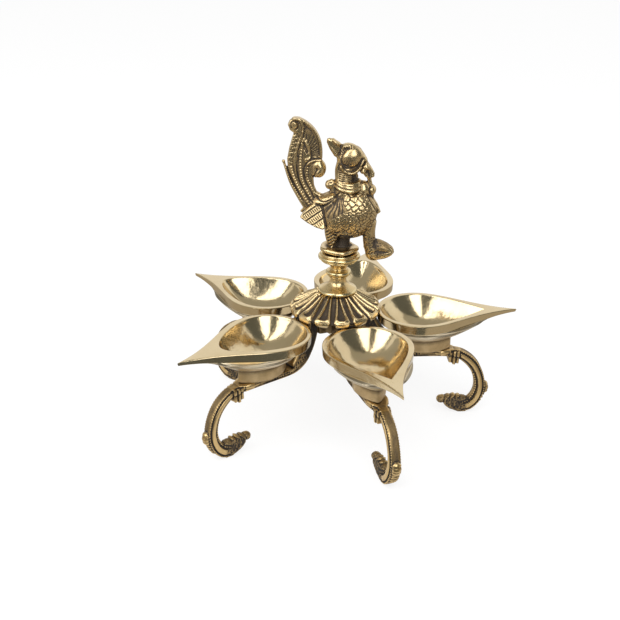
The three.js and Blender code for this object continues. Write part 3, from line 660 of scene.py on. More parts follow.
# %% [markdown]
# ## The stem
# The stem is one turned piece: a flared lip that sits on the canopy, a waist, two rings and a
# cup with a double edge under the bird. A turned piece is a profile spun round an axis. Every
# corner of the profile is rounded a little, as buffing leaves it, and catches a thin highlight.

# %% A profile with rounded corners, spun round the axis
def rounded(points, radius, steps=4):
    """The polyline with every inner corner replaced by a short curve."""
    points = [np.array(p, float) for p in points]
    made = [points[0]]
    for before, p, after in zip(points, points[1:-1], points[2:]):
        a, b = before - p, after - p
        reach = min(radius, 0.45 * np.linalg.norm(a), 0.45 * np.linalg.norm(b))
        start = p + a / np.linalg.norm(a) * reach
        end = p + b / np.linalg.norm(b) * reach
        for t in np.linspace(0, 1, steps + 1):
            made.append((1 - t) ** 2 * start + 2 * t * (1 - t) * p + t * t * end)
    return np.array(made + [points[-1]])


def circle(count):
    """Angles of equally many points round an axis."""
    return 2 * math.pi * np.arange(count) / count


def around(a, r, z):
    """A ring of points at the angles a; r and z may differ from point to point."""
    return np.column_stack([r * np.cos(a), r * np.sin(a), np.broadcast_to(z, len(a))])


def spun(levels, a):
    """Rings from (radius or radii, z) pairs, at the angles a."""
    return [around(a, r, z) for r, z in levels]


# %% The stem's profile, in millimetres
STEM_LOW, STEM_TALL = 76.0, 22.3
FLARE = through([(9.7, 0.10), (8.0, 0.135), (5.8, 0.19), (4.7, 0.255), (4.35, 0.34)], 14)
CUP = through([(4.3, 0.61), (4.4, 0.64), (5.1, 0.685), (6.9, 0.75), (8.9, 0.8)], 14)
stem_shares = [
    (0.5, 0.0), (9.9, 0.0), (10.5, 0.03), (10.5, 0.062), (10.1, 0.088), *FLARE,
    (4.4, 0.385), (5.4, 0.395), (5.5, 0.42), (4.8, 0.432), (5.3, 0.445), (6.6, 0.462), (6.9, 0.505),
    (6.6, 0.548), (5.5, 0.57), (4.6, 0.58), (4.8, 0.592), (4.4, 0.602), *CUP,
    (9.7, 0.812), (9.8, 0.835), (9.5, 0.85), (10.3, 0.865), (11.2, 0.885), (11.3, 0.925),
(10.9, 0.955),
    (9.9, 0.962), (9.8, 0.978), (10.2, 0.995), (9.9, 1.02), (8.6, 1.03), (8.2, 1.0), (0.5, 1.0),
]
stem_profile = rounded([(r, STEM_LOW + STEM_TALL * share) for r, share in stem_shares], 0.35)
stem_skin, stem_faces = skin(spun(stem_profile, circle(96)))
# It stands a little off the middle and leans, as on the real lamp
OFF_MIDDLE, LEAN = 1.1, 0.7  # mm at its foot, and mm more at its top
stem_skin = stem_skin + np.outer(
    OFF_MIDDLE + LEAN * (stem_skin[:, 2] - STEM_LOW) / STEM_TALL, (1, 0, 0))
stem = piece("turned_stem", stem_skin, stem_faces, [aged_gold], "golden_brass", ["stem"], smooth=50)
mark_recesses(stem.data, ((2, 0.05), (6, 0.16), (16, 0.4)))
print("stem vertices:", len(stem.data.vertices))

# %% [markdown]
# ## The lotus canopy
# A bell of fourteen petals hides the hub. Every petal has a raised U-shaped edge round a sunk,
# dark middle, and ends in a thick tip that is turned down. Instead of sculpting, the height
# over a smooth bell is worked out for each point of a fine polar grid.

# %% The bell's cross-section and the relief of a petal
PETALS = 14
PETAL_TURN = 0.784  # of a petal, as the canopy happened to be screwed down
BELL = [(4.9, 76.0), (9.6, 75.95), (10.4, 75.4), (14.6, 72.5), (19.6, 69.6), (23.0, 68.2),
        (24.1, 66.8), (24.0, 65.4), (22.9, 64.8), (20.6, 65.7), (16.5, 68.6), (12.6, 70.9),
        (10.4, 72.2)]
BELL_STEPS = 240
bell = through(BELL, BELL_STEPS)
bell_gaps = np.linalg.norm(np.diff(bell, axis=0), axis=1)
along_bell = np.concatenate([[0], np.cumsum(bell_gaps)]) + BELL[0][0]
TIP_AT = along_bell[np.argmax(bell[:, 0])]  # arc length where the bell is widest
PETALS_FROM = 10.4  # arc length where the petals come out from under the stem
FLOOR_CORNER, TIP_ROUND, TIP_HALF = 2.0, 3.2, 0.9
SUNK, RAISED, CROWN = 0.95, 1.5, 0.25  # mm: floor under the bell, edge over the floor, its crown


def petal_height(across, length):
    """Height in mm over the bell, and how sunk, at a point of a petal."""
    out = np.clip((length - PETALS_FROM) / (TIP_AT - 2.4 - PETALS_FROM), 0, 1.2)
    floor_half = 0.4 + 2.2 * out ** 1.4
    edge_wide = 0.85 + 0.65 * out
    dx = np.abs(across) - (floor_half - FLOOR_CORNER)
    dy = length - (TIP_AT - 2.3) + FLOOR_CORNER
    off_floor = np.where((dx > 0) & (dy > 0), np.hypot(np.maximum(dx, 0), np.maximum(dy, 0)),
                         np.maximum(dx, dy)) - FLOOR_CORNER
    off_side = np.abs(across) - (floor_half + edge_wide)
    past_tip = length - (TIP_AT + 2.2)
    off_tip = np.hypot(np.maximum(np.abs(across) - TIP_HALF, 0),
                       np.maximum(past_tip + TIP_ROUND, 0)) - TIP_ROUND
    outside = np.maximum(off_side, np.where(past_tip > -TIP_ROUND, off_tip, -9))
    wall = smooth_step(off_floor, -0.3, 0.2)
    drop = smooth_step(outside, -0.35, 0.25)
    crown = CROWN * np.exp(-((off_floor - 0.6) / 0.45) ** 2)
    return -SUNK + (RAISED * wall + crown) * (1 - drop), 1 - wall * (1 - drop)


def lotus_rings():
    a = circle(PETALS * 30)
    tangent = np.gradient(bell, axis=0)
    tangent /= np.linalg.norm(tangent, axis=1)[:, None]
    rings, sunk = [], []
    rows = np.concatenate([np.linspace(0, 40, 5), np.linspace(44, 190, 86),
                           np.linspace(195, BELL_STEPS, 8)])
    for row in rows:
        r, z, tr, tz, length = (np.interp(row, np.arange(BELL_STEPS + 1), values)
                                for values in (*bell.T, *tangent.T, along_bell))
        pitch = 2 * math.pi * r / PETALS
        across = (((a * PETALS / (2 * math.pi)) + 0.5 - PETAL_TURN) % 1 - 0.5) * pitch
        shown = smooth_step(length, 9.0, 10.6) * (1 - smooth_step(length, TIP_AT + 4.2, TIP_AT + 7))
        h, deep = (part * shown for part in petal_height(across, length))
        sunk.append(deep)
        rings.append(around(a, r - tz * h, z + tr * h))
    return rings, np.concatenate(sunk)


petal_rings, sunk = lotus_rings()
lotus = piece("lotus_petals", *skin(petal_rings), [carved_brass], "antique_brass",
              ["lotus_canopy"], smooth=0)
mark_recesses(lotus.data, ((6, 0.12), (30, 0.45), (90, 1.0)), 0.2 * sunk - 0.08)
print("lotus vertices:", len(lotus.data.vertices))

# %% [markdown]
# ## Marks in the castings
# Beads, barbs and scales are cut into the wax before a piece is cast. Here they are drawn as
# lines and patterns on a flat side view, in (x, z). Every vertex looks up how far it lies from
# them, moves along its normal and, in a cut, takes some of the dark colour.

# %% A tool that presses drawn marks into a skin
def comb(phase):
    """Narrow even teeth, 0 to 1."""
    return (0.5 + 0.5 * np.cos(phase)) ** 1.5


class Relief:
    def __init__(self, mesh, origin=(0, 0, 0), lean=None):
        co, self.normals = vertex_arrays(mesh)
        self.mesh, self.origin = mesh, np.array(origin, float)
        self.co = co - self.origin
        self.side = np.clip(np.abs(self.normals[:, 1]) * 2.4 - 0.5, 0, 1)
        self.flat = self.co[:, [0, 2]].copy()
        if lean:  # the drawing was made from above: (height, distance) of the eye
            self.flat[:, 1] -= np.abs(self.co[:, 1]) * (lean[0] - self.co[:, 2]) / lean[1]
        self.push, self.stain_and_light = np.zeros(len(co)), np.zeros(len(co))

    def press(self, share, height, stain_and_light=0.0, where=slice(None)):
        """Raises (or, with a negative height, cuts) and darkens by a share, 0 to 1, per vertex."""
        self.push[where] += height * share
        self.stain_and_light[where] += stain_and_light * share

    def near(self, path, reach, steps=160):
        """The vertices close to a path, their signed distance from it and the run along it."""
        p = through(path, steps)
        run = np.concatenate([[0], np.cumsum(np.linalg.norm(np.diff(p, axis=0), axis=1))])
        box = (self.flat > p.min(0) - reach) & (self.flat < p.max(0) + reach)
        picked = np.nonzero(box.all(1) & (self.side > 0))[0]
        away = self.flat[picked, None] - p[None]
        k = (away ** 2).sum(2).argmin(1)
        away = away[np.arange(len(k)), k]
        t = np.gradient(p, axis=0)[k]
        t /= np.linalg.norm(t, axis=1)[:, None]
        across = t[:, 0] * away[:, 1] - t[:, 1] * away[:, 0]
        past = np.abs((t * away).sum(1))
        keep = (np.abs(across) < reach) & (past < reach * 0.6)
        return picked[keep], across[keep], run[k[keep]]

    def line(self, width, height, stain_and_light, path):
        """A raised line, or a cut where the height is negative."""
        i, d, _ = self.near(path, width * 2.6)
        self.press(np.exp(-(d / width) ** 2), height, stain_and_light, i)

    def dots(self, radius, pitch, height, path):
        """A row of small bright knobs along a path."""
        i, d, s = self.near(path, radius * 2.2)
        along = (s / pitch) % 1 - 0.5
        share = np.exp(-(d / radius) ** 2 - (along * pitch / radius) ** 2)
        self.push[i] += height * (share - 0.4)
        self.stain_and_light[i] += 0.3 * (0.35 - share)

    def inside(self, outline):
        """1 for the vertices inside an (x, z) outline, 0 outside."""
        x, z = self.flat.T
        odd = np.zeros(len(x), bool)
        p = np.array(outline, float)
        for (x0, z0), (x1, z1) in zip(p, np.roll(p, -1, 0)):
            if z0 != z1:
                odd ^= ((z0 > z) != (z1 > z)) & (x < (x1 - x0) * (z - z0) / (z1 - z0) + x0)
        return odd * self.side

    def strokes(self, mask, angle, pitch, depth, bend=0.0):
        """Parallel cuts; angle is the way that they run, in degrees."""
        a = math.radians(angle)
        x, z = self.flat.T
        run = x * math.cos(a) + z * math.sin(a)
        lane = -x * math.sin(a) + z * math.cos(a) + bend * np.sin(run * 1.1)
        self.press(comb(2 * math.pi * lane / pitch) * mask, -depth, 0.22)

    def stipple(self, mask, pitch, depth):
        """Punched dots in uneven rows."""
        x, z = self.flat.T
        u, v = x / pitch, z / pitch
        best = np.full(len(x), 9.0)
        for du in (-1, 0, 1):
            for dv in (-1, 0, 1):
                a, b = np.floor(u) + du, np.floor(v) + dv
                ja = 0.5 + 0.33 * np.sin(a * 12.7 + b * 7.1)
                jb = 0.5 + 0.33 * np.sin(a * 5.3 + b * 9.9)
                best = np.minimum(best, (u - a - ja) ** 2 + (v - b - jb) ** 2)
        self.press(np.exp(-best / 0.09) * mask, -depth, 0.2)

    def scales(self, mask, wide, tall, height, uneven=0.35):
        """Rounded scales in rows, each row lapping the one below like roof tiles."""
        x, z = self.flat.T
        x, z = x + uneven * np.sin(z * 0.9 + 1), z + uneven * np.sin(x * 1.1)  # cut by hand
        top, edge, done = np.zeros(len(x)), np.zeros(len(x)), np.zeros(len(x), bool)
        row = np.ceil(z / tall)
        for up in (1, 0, -1):
            k = row + up
            middle = (np.floor(x / wide - 0.5 * (k % 2)) + 0.5 + 0.5 * (k % 2)) * wide
            far = np.hypot((x - middle) / (0.56 * wide), (z - k * tall) / (1.25 * tall))
            here = ~done & (far < 1) & (z < k * tall + 0.2 * tall)
            top[here] = (1 - far[here] ** 3) * 0.6 + 0.4 * far[here]
            edge[here] = np.clip((far[here] - 0.78) / 0.22, 0, 1)
            done |= here
        self.push += height * (top - 0.6 * edge - 0.4) * mask
        self.stain_and_light += 0.24 * edge * mask

    def finish(self):
        """Moves the vertices, then works out the recesses anew."""
        co = self.co + self.origin + self.normals * (self.push * self.side)[:, None]
        self.mesh.vertices.foreach_set("co", (co * MM).ravel())
        self.mesh.update()
        mark_recesses(self.mesh, stain_and_light=self.stain_and_light * self.side)


# %% [markdown]
# ## The legs
# One casting per leg: an arm down from the hub, a strap under the bowl, a collar, and a big
# scroll that ends in a curled, ribbed shell. The same drawing serves all five. Its parts are
# swept and lathed as simple closed shapes first and then melted into one skin by a voxel
# remesh, as the wax of a casting would be; fine marks are pressed in after that.

# %% Closed simple shapes to melt together, all in millimetres
def fused(parts):
    """One list of vertices and one of faces from several closed shapes."""
    vertices, faces, start = [], [], 0
    for v, f in parts:
        vertices.append(np.asarray(v, float))
        faces += [tuple(i + start for i in face) for face in f]
        start += len(v)
    return np.vstack(vertices), faces


def ball(centre, radii, tilt=0.0, across=28, up=16):
    """An ellipsoid; tilt turns it about the Y axis, in radians."""
    v, f = skin([around(circle(across), math.sin(b), -math.cos(b)) * radii
                 for b in np.linspace(0.02, math.pi - 0.02, up)])
    turn = np.array(Matrix.Rotation(tilt, 3, "Y"))
    return v @ turn.T + np.array(centre, float), f


def line(points, y=0.0):
    """(x, y, z) points from a path on the side view."""
    return [(x, y, z) for x, z in points]


def both_sides(make):
    return [made for side in (-1, 1) for made in make(side)]


def rope(points, radii, sides=20, steps=40):
    """A bar with round ends through (x, y, z) points; radii are (in the plane, across) pairs."""
    p = through(points, steps)
    r = through(radii, steps)
    t = np.gradient(p, axis=0)
    t /= np.linalg.norm(t, axis=1)[:, None]
    normal = np.column_stack([-t[:, 2], np.zeros(len(t)), t[:, 0]])
    normal /= np.maximum(np.linalg.norm(normal, axis=1), 1e-6)[:, None]
    side = np.cross(t, normal)
    a = circle(sides)
    rings = [p[k] + np.outer(np.cos(a) * r[k, 0], normal[k])
             + np.outer(np.sin(a) * r[k, 1], side[k]) for k in range(len(p))]
    first, last = rings[0], rings[-1]
    cap = [(0.35, 0.9), (0.75, 0.55), (0.98, 0.12)]  # how far out, and how wide there
    start = [p[0] + (first - p[0]) * s - t[0] * r[0, 0] * out for out, s in cap]
    end = [p[-1] + (last - p[-1]) * s + t[-1] * r[-1, 0] * out for out, s in cap]
    return skin(start[::-1] + rings + end)


def slab(outline, thickness, bevel=0.6, y=0.0):
    """A plate with a rounded edge from an (x, z) outline, centred on y."""
    p = np.array(outline, float)
    area = np.sum(p[:, 0] * np.roll(p[:, 1], -1) - np.roll(p[:, 0], -1) * p[:, 1])
    if area < 0:
        p = p[::-1]
    ahead = np.roll(p, -1, 0) - p
    ahead /= np.linalg.norm(ahead, axis=1)[:, None]
    n = ahead + np.roll(ahead, 1, 0)
    n = np.column_stack([n[:, 1], -n[:, 0]])
    n /= np.maximum(np.linalg.norm(n, axis=1), 1e-6)[:, None]
    rings = []
    for a in np.linspace(-math.pi / 2, math.pi / 2, 7):
        inset = bevel * (1 - math.cos(a))
        side = (thickness / 2 - bevel) * np.sign(a) + bevel * math.sin(a)
        q = p - n * inset
        rings.append(np.column_stack([q[:, 0], np.full(len(q), y + side), q[:, 1]]))
    return skin(rings)


def sweep(inner, outer, wide, section, steps):
    """A bar between two (r, z) edges; a section's points are (-1 inner to 1 outer, width)."""
    a, b = through(inner, steps), through(outer, steps)
    w = through(np.column_stack([wide, wide]), steps)[:, 0]
    both = np.array(list(section) + [(u, -v) for u, v in reversed(section)])
    rings = []
    for k in range(len(a)):
        p = a[k] + (b[k] - a[k]) * ((both[:, :1] + 1) / 2)
        rings.append(np.column_stack([p[:, 0], both[:, 1] * w[k] / 2, p[:, 1]]))
    return skin(rings)


def melted(parts, name, voxel):
    """The shapes as one closed skin: a voxel remesh, evaluated and copied to a plain mesh."""
    v, f = fused(parts)
    rough = bpy.data.meshes.new(name + "_parts")
    rough.from_pydata((v * MM).tolist(), [], f)
    outward(rough)
    holder = bpy.data.objects.new(name + "_parts", rough)
    bpy.context.scene.collection.objects.link(holder)
    remesh = holder.modifiers.new("melt", "REMESH")
    remesh.mode = "VOXEL"
    remesh.voxel_size = voxel * MM
    depsgraph = bpy.context.evaluated_depsgraph_get()
    made = bpy.data.meshes.new_from_object(holder.evaluated_get(depsgraph))
    made.name = name
    bpy.data.objects.remove(holder)
    bpy.data.meshes.remove(rough)
    return made


# %% The arm and the strap
SEAT_END_R, STRAP_BOTTOM_Z = 64.6, 37.6
HUB_FLAT_R, HUB_TOP_Z = 15.0, 64.5
STRAP_FROM_R = 36.0  # where the arm has come down and the strap runs on level


def arm_edge(shares, r, z):
    return [(r + (STRAP_FROM_R - r) * out, HUB_TOP_Z + (z - HUB_TOP_Z) * down)
            for out, down in shares]


ARM_IN = arm_edge([(0, 0), (0, .22), (.07, .455), (.2, .67), (.4, .86), (.69, .972), (1, 1)],
                  HUB_FLAT_R, STRAP_BOTTOM_Z)
ARM_OUT = arm_edge([(0, 0), (.09, .2), (.28, .4), (.48, .58), (.66, .75), (.83, .895), (1, 1)],
                   HUB_FLAT_R + 5.8, STRAP_TOP_Z)
ARM_IN += [(47.0, STRAP_BOTTOM_Z), (58.0, STRAP_BOTTOM_Z), (65.5, 36.0)]
ARM_OUT += [(47.0, STRAP_TOP_Z), (58.0, STRAP_TOP_Z), (66.2, 40.6)]
ARM_WIDE = [9, 9, 9, 9.5, 10.5, 11.5, 12, 12, 12, 7]
ARM_SECTION = [(1, 0.78), (0.86, 0.93), (0.6, 1.0), (0.45, 0.9), (-0.45, 0.9), (-0.6, 1.0),
               (-0.86, 0.93), (-1, 0.78)]

# %% The scroll foot
SCROLL_OUT_R = 85.6
SCROLL_OUTER = [(.04, .983), (.329, .949), (.581, .869), (.762, .77), (.886, .654), (.967, .533),
                (1, .407), (.967, .276), (.848, .14), (.648, .039), (.429, .007)]
SCROLL_INNER = [(0, .862), (.229, .823), (.395, .76), (.533, .683), (.629, .596), (.686, .504),
                (.705, .412), (.681, .329), (.61, .252), (.505, .199), (.39, .174)]
SCROLL_SECTION = [(1, .52), (.95, .76), (.85, .86), (.74, .88), (.66, .76), (.58, .76), (.48, .94),
                  (.34, 1.02), (.05, 1.06), (-.26, 1.02), (-.38, .92), (-.46, .7), (-.56, .64),
                  (-.8, .64), (-.92, .58), (-1, .42)]
SCROLL_WIDE = [6.6, 6, 6, 6, 6, 6, 6.2, 6.6, 6.8, 6.4, 5.6]


def scroll_edge(shares):
    return [(SEAT_END_R + (SCROLL_OUT_R - SEAT_END_R) * out, STRAP_TOP_Z * up) for out,
            up in shares]


FOOT_R = 73.3


def shell_end():
    """The curled shell at the scroll's end, drawn from the middle of the flat that it stands on."""
    outline = [(-2.1, 0), (2.1, 0), (4.7, 2.4), (4.6, 5.5), (3.7, 8), (1.3, 9.3), (-1.5, 8.8),
               (-3.3, 9.4), (-7.3, 9.6), (-9.6, 9.2), (-11.0, 7.8), (-10.2, 5.4), (-7.3, 2.2)]
    parts = [slab(outline, 5.4, 1.2)]
    ribs = [[(2.4, 1.5), (-1.8, 1.8), (-4.2, 4.6), (-3.6, 8.6), (-2.2, 10.0)],
            [(-2.2, 1.0), (-5.8, 2.8), (-7.2, 5.8), (-6.6, 8.9), (-5.0, 10.4)],
            [(-6.4, 2.3), (-9.0, 4.8), (-9.9, 7.0), (-9.2, 9.0), (-7.8, 9.9)]]
    for rib in ribs:
        parts.append(rope(line(rib), [(0.9, 2.4), (1.15, 2.9), (1.25, 3.0), (1.15, 2.8),
                                      (0.9, 2.2)]))
    parts.append(ball((-12.2, 0, 7.8), (2.5, 2.7, 2.4)))
    parts.append(ball((-11.2, 0, 8.6), (1.6, 2.4, 1.7)))
    parts.append(ball((0.0, 0, 7.4), (3.2, 2.9, 2.6), 0.35))
    parts.append(ball((-0.2, 0, 5.2), (2.3, 3.3, 2.3)))
    return [(v + (FOOT_R, 0, 0), f) for v, f in parts]


COLLAR_AT = np.array([SEAT_END_R + 1.9, STRAP_TOP_Z - 5.2])


def collar():
    """Three rings round the scroll's neck, and a small leaf before them on each side."""
    parts = []
    for shift, low, high, wide in [(-2.0, -3.4, 2.6, 7.4), (0.1, -4.4, 3.4, 8.6),
                                   (2.1, -4.0, 3.2, 7.6)]:
        corners = [(-0.9, low), (0.8, low - 0.3), (1.3, high), (-0.7, high)]
        parts.append(slab(COLLAR_AT + (shift, 0) + corners, wide, 0.8))
    leaf_z = (STRAP_TOP_Z + STRAP_BOTTOM_Z) / 2

    def leaf(side):
        yield rope([(SEAT_END_R - 9.0, side * 5.2, leaf_z),
                    (SEAT_END_R - 5.0, side * 5.0, leaf_z + 0.2),
                    (SEAT_END_R - 1.0, side * 3.9, leaf_z)], [(0.8, 0.5), (1.5, 1.0), (1.2, 0.9)],
                   14, 20)

    return parts + both_sides(leaf)


def foot_balls():
    """The carved boss on the outside of the scroll, and the ribs under it."""
    parts = [ball((SCROLL_OUT_R + reach, 0, STRAP_TOP_Z * up), (2.0, 2.6, tall))
             for reach, up, tall in ((0.0, 0.41, 2.0), (0.4, 0.365, 2.3), (0.1, 0.325, 1.8))]
    for out, up in [(0.975, 0.27), (0.94, 0.225), (0.895, 0.18), (0.84, 0.142)]:
        parts.append(ball((SEAT_END_R + (SCROLL_OUT_R - SEAT_END_R) * out + 0.1, 0,
                           STRAP_TOP_Z * up),
                          (0.85, 2.4, 0.85), across=14, up=9))
    return parts


# %% Melt a leg together, and keep its seat, the hub's flat and the floor plain
def flatten(mesh):
    """Brings points beyond the planes that the leg is brazed to or stands on back to them."""
    co, _ = vertex_arrays(mesh)
    r, z = co[:, 0], co[:, 2]
    seat = (r > 33) & (r < SEAT_END_R)
    z[seat] = np.minimum(z[seat], STRAP_TOP_Z)
    co[:, 2] = np.maximum(z, 0)
    co[:, 0] = np.maximum(r, HUB_FLAT_R)
    mesh.vertices.foreach_set("co", (co * MM).ravel())
    mesh.update()


scroll = sweep(scroll_edge(SCROLL_INNER), scroll_edge(SCROLL_OUTER), SCROLL_WIDE, SCROLL_SECTION,
               90)
parts = [sweep(ARM_IN, ARM_OUT, ARM_WIDE, ARM_SECTION, 90), scroll]
leg = melted(parts + collar() + shell_end() + foot_balls(), "leg", voxel=0.27)
flatten(leg)
print("leg vertices:", len(leg.vertices))

# %% Beads, cuts and dark strips on a leg
cuts = Relief(leg)


def lane(share, first=0, last=11):
    """A path along the scroll, between its inner (-1) and outer (1) edge."""
    inner, outer = np.array(scroll_edge(SCROLL_INNER)), np.array(scroll_edge(SCROLL_OUTER))
    return (inner + (outer - inner) * (share + 1) / 2)[first:last]


cuts.line(0.55, -0.2, 0.3, lane(0.62))
cuts.line(0.6, 0.0, 0.2, lane(0.84))
cuts.dots(0.5, 1.4, 0.4, lane(0.84, 1))
cuts.line(0.4, -0.25, 0.34, lane(-0.46))
cuts.line(0.9, 0.0, 0.2, lane(-0.78))
cuts.dots(0.6, 1.5, 0.5, lane(-0.74, 4))
cuts.line(1.3, 0.0, -0.16, lane(0.05))
shell = [(2.6, 2.2), (-2.0, 0), (-8, 0.5), (-12, 5), (-15.5, 8), (-13, 12), (3.4, 11), (4.4, 7.4),
         (1.6, 5.2)]
shell = cuts.inside([(FOOT_R + r, z) for r, z in shell])
cuts.stain_and_light += 0.3 * shell
cuts.stipple(shell, 1.7, 0.2)
for shift in (-3.2, -0.9, 1.1, 3.6):
    cuts.line(0.4, -0.3, 0.4, COLLAR_AT + [(shift + 0.3, 3.4), (shift, -4.4)])
arm_in, arm_out = np.array(ARM_IN), np.array(ARM_OUT)
middle = [(arm_in * (1 - share) + arm_out * share)[:8] for share in (0.25, 0.75)]
cuts.stipple(cuts.inside(np.vstack([middle[0], middle[1][::-1]])), 1.6, 0.25)
for share in (0.2, 0.8):
    cuts.line(0.4, -0.2, 0.25, (arm_in * (1 - share) + arm_out * share)[:9])
cuts.finish()

# %% What the side view does not reach
co, normals = vertex_arrays(leg)
patina_and_light = recesses(leg)
# The boss and the ribs under it face outwards
boss = (co[:, 0] > SCROLL_OUT_R - 1.5) & (np.abs(co[:, 2] - STRAP_TOP_Z * 0.367) < 4)
patina_and_light += 0.12 * boss * (0.5 + 0.5 * np.cos(2 * math.pi * co[:, 1] / 1.7))
outside = (np.abs(normals[:, 1]) < 0.45) & (co[:, 0] > SEAT_END_R + 6) & (normals[:, 0] > 0) & ~boss
patina_and_light += 0.17 * outside
# Under the canopy the arms get painted shade; in the curled shell the brass was never buffed
patina_and_light += 0.34 * np.clip((29.0 - co[:, 0]) / 7, 0, 1)
curl = (co[:, 0] < FOOT_R + 2.6) & (co[:, 0] > FOOT_R - 16) & (co[:, 2] < 13)
EVEN_DARK, KEPT = 0.64, 0.55  # the tone there, and how much of the contrast is left
patina_and_light[curl] = EVEN_DARK + KEPT * (patina_and_light[curl] - EVEN_DARK)
leg.attributes["patina_and_light"].data.foreach_set("value", patina_and_light)

# %% Five legs
for k in ARMS:
    dressed(leg.copy(), f"scroll_leg_{k}", [brown_brass], "antique_brass", [f"leg_{k}"],
            arm_place(k))
print("legs:", len(ARMS))

# %% [markdown]
# ## The hub and what holds the lamp together
# Under the canopy a cast boss has a flat for every arm, and the arms are brazed to it. A
# threaded rod runs from the stem down through it to a washer and a nut. Every bowl has its own
# screw from below. Their heights come from the frame, so they meet the pieces round them.

# %% The hub
HUB_NECK_R, HUB_FLAT_HALF, HUB_WEB_R, HUB_WEB_HALF = 8.0, 5.1, 12.8, 0.12


def heights(node):
    low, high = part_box(node)
    return low.z / MM, high.z / MM


def star_radius(corners, a):
    """How far out a polygon round the axis reaches at each angle."""
    p = corners[np.argsort(np.arctan2(corners[:, 1], corners[:, 0]))]
    edge = np.roll(p, -1, 0) - p
    way = np.column_stack([np.cos(a), np.sin(a)])[:, None]
    turn = way[..., 0] * edge[:, 1] - way[..., 1] * edge[:, 0]
    reach = (p[:, 0] * edge[:, 1] - p[:, 1] * edge[:, 0]) / turn
    share = (p[:, 0] * way[..., 1] - p[:, 1] * way[..., 0]) / turn
    hit = (reach > 0) & (share >= -1e-9) & (share <= 1 + 1e-9)
    return np.where(hit, reach, np.inf).min(1)


def hub_rings():
    corners = []
    order = sorted(arm_angle.values())
    for here, following in zip(order, order[1:] + [order[0] + 2 * math.pi]):
        for y in (-HUB_FLAT_HALF, HUB_FLAT_HALF):
            corners.append(np.array(Matrix.Rotation(here, 2)) @ (HUB_FLAT_R, y))
        for a in (-HUB_WEB_HALF, HUB_WEB_HALF):
            middle = (here + following) / 2 + a
            corners.append((HUB_WEB_R * math.cos(middle), HUB_WEB_R * math.sin(middle)))
    a = 2 * math.pi * (np.arange(300) + 0.5) / 300
    out = star_radius(np.array(corners), a)
    for _ in range(3):
        out = (np.roll(out, 1) + 2 * out + np.roll(out, -1)) / 4
    low, high = heights("hub")
    levels = [(0.5, low), (out * 0.5, low), (out - 0.7, low), (out - 0.2, low + 0.2),
              (out, low + 0.7),
              (out, HUB_TOP_Z - 0.7), (out - 0.2, HUB_TOP_Z - 0.2), (out - 0.7, HUB_TOP_Z),
              (HUB_NECK_R + 0.5, HUB_TOP_Z), (HUB_NECK_R, HUB_TOP_Z + 0.5),
              (HUB_NECK_R, high - 0.4),
              (HUB_NECK_R - 0.4, high), (0.5, high)]
    return spun(levels, a)


# Its brass is painted dark for the shade under the canopy
piece("hub_boss", *skin(hub_rings()), [shade_dark_brass], "antique_brass", ["hub"])

# %% Rod, washer and nut
THREAD_PITCH, THREAD_DEEP, ROD_R = 0.7, 0.16, 2.0
WASHER_R, NUT_FACE_R, NUT_CORNER_R, NUT_HALF_FLATS = 6.0, 3.6, 4.4, 3.8
a = circle(48)


def threaded(radius, low, high, steps):
    """Rings of a rod with a thread that winds up it and a pointed-off end."""
    rows = np.linspace(low, high, steps)
    end = np.minimum(1, 0.8 + 0.5 * np.minimum(rows - low, high - rows))
    wind = [0.5 + 0.5 * np.cos(2 * math.pi * z / THREAD_PITCH - a) for z in rows]
    body = [(radius * e - THREAD_DEEP * w, z) for z, e, w in zip(rows, end, wind)]
    return spun([(0.3, low), *body, (0.3, high)], a)


rod_low, rod_high = heights("tie_rod")
piece("threaded_rod", *skin(threaded(ROD_R, rod_low, rod_high, 260)), [satin_brass],
      "hardware_brass", ["tie_rod"], smooth=60)
low, high = heights("washer")
edge = rounded([(ROD_R, low), (WASHER_R, low), (WASHER_R, high), (ROD_R, high)], 0.35)
piece("plain_washer", *skin(spun(edge, circle(64))), [satin_brass], "hardware_brass", ["washer"])
low, high = heights("nut")
flats = NUT_HALF_FLATS / np.cos(a % (math.pi / 3) - math.pi / 6)
chamfer, corner = np.minimum(flats, 4.0), np.minimum(flats, NUT_CORNER_R)
nut_levels = [(ROD_R, low), (NUT_FACE_R, low), (chamfer, low + 0.25), (corner, low + 0.7),
              (corner, high - 0.7), (chamfer, high - 0.25), (NUT_FACE_R, high), (ROD_R, high)]
piece("hexagon_nut", *skin(spun(nut_levels, a)), [satin_brass], "hardware_brass", ["nut"],
      smooth=25)
print("rod from", round(rod_low, 1), "to", round(rod_high, 1), "mm")

# %% A slotted screw under each bowl
SCREW_R, HEAD_R, HEAD_TALL, HEAD_EDGE, SLOT_HALF, SLOT_DEEP = 1.75, 3.3, 1.1, 0.25, 0.4, 0.6


def screw_rings(high):
    """A low domed head with a slot, and its shank up into the bowl's foot."""
    a = circle(96)
    rings = []
    for share in np.linspace(0.04, 1, 18):
        r = HEAD_R * share
        dome = (HEAD_TALL - HEAD_EDGE) * math.sqrt(1 - (0.9 * share) ** 2)
        dome = STRAP_BOTTOM_Z - HEAD_EDGE - dome
        off_slot = smooth_step(np.abs(r * np.sin(a)), SLOT_HALF - 0.12, SLOT_HALF + 0.12)
        z = np.minimum(dome + SLOT_DEEP * (1 - off_slot), STRAP_BOTTOM_Z - 0.05)
        rings.append(around(a, r, z))
    rings += spun([(HEAD_R, STRAP_BOTTOM_Z), (SCREW_R, STRAP_BOTTOM_Z), (SCREW_R, high - 0.4),
                   (SCREW_R - 0.4, high), (0.2, high)], a)
    return [ring + (SEAT_R, 0, 0) for ring in rings]


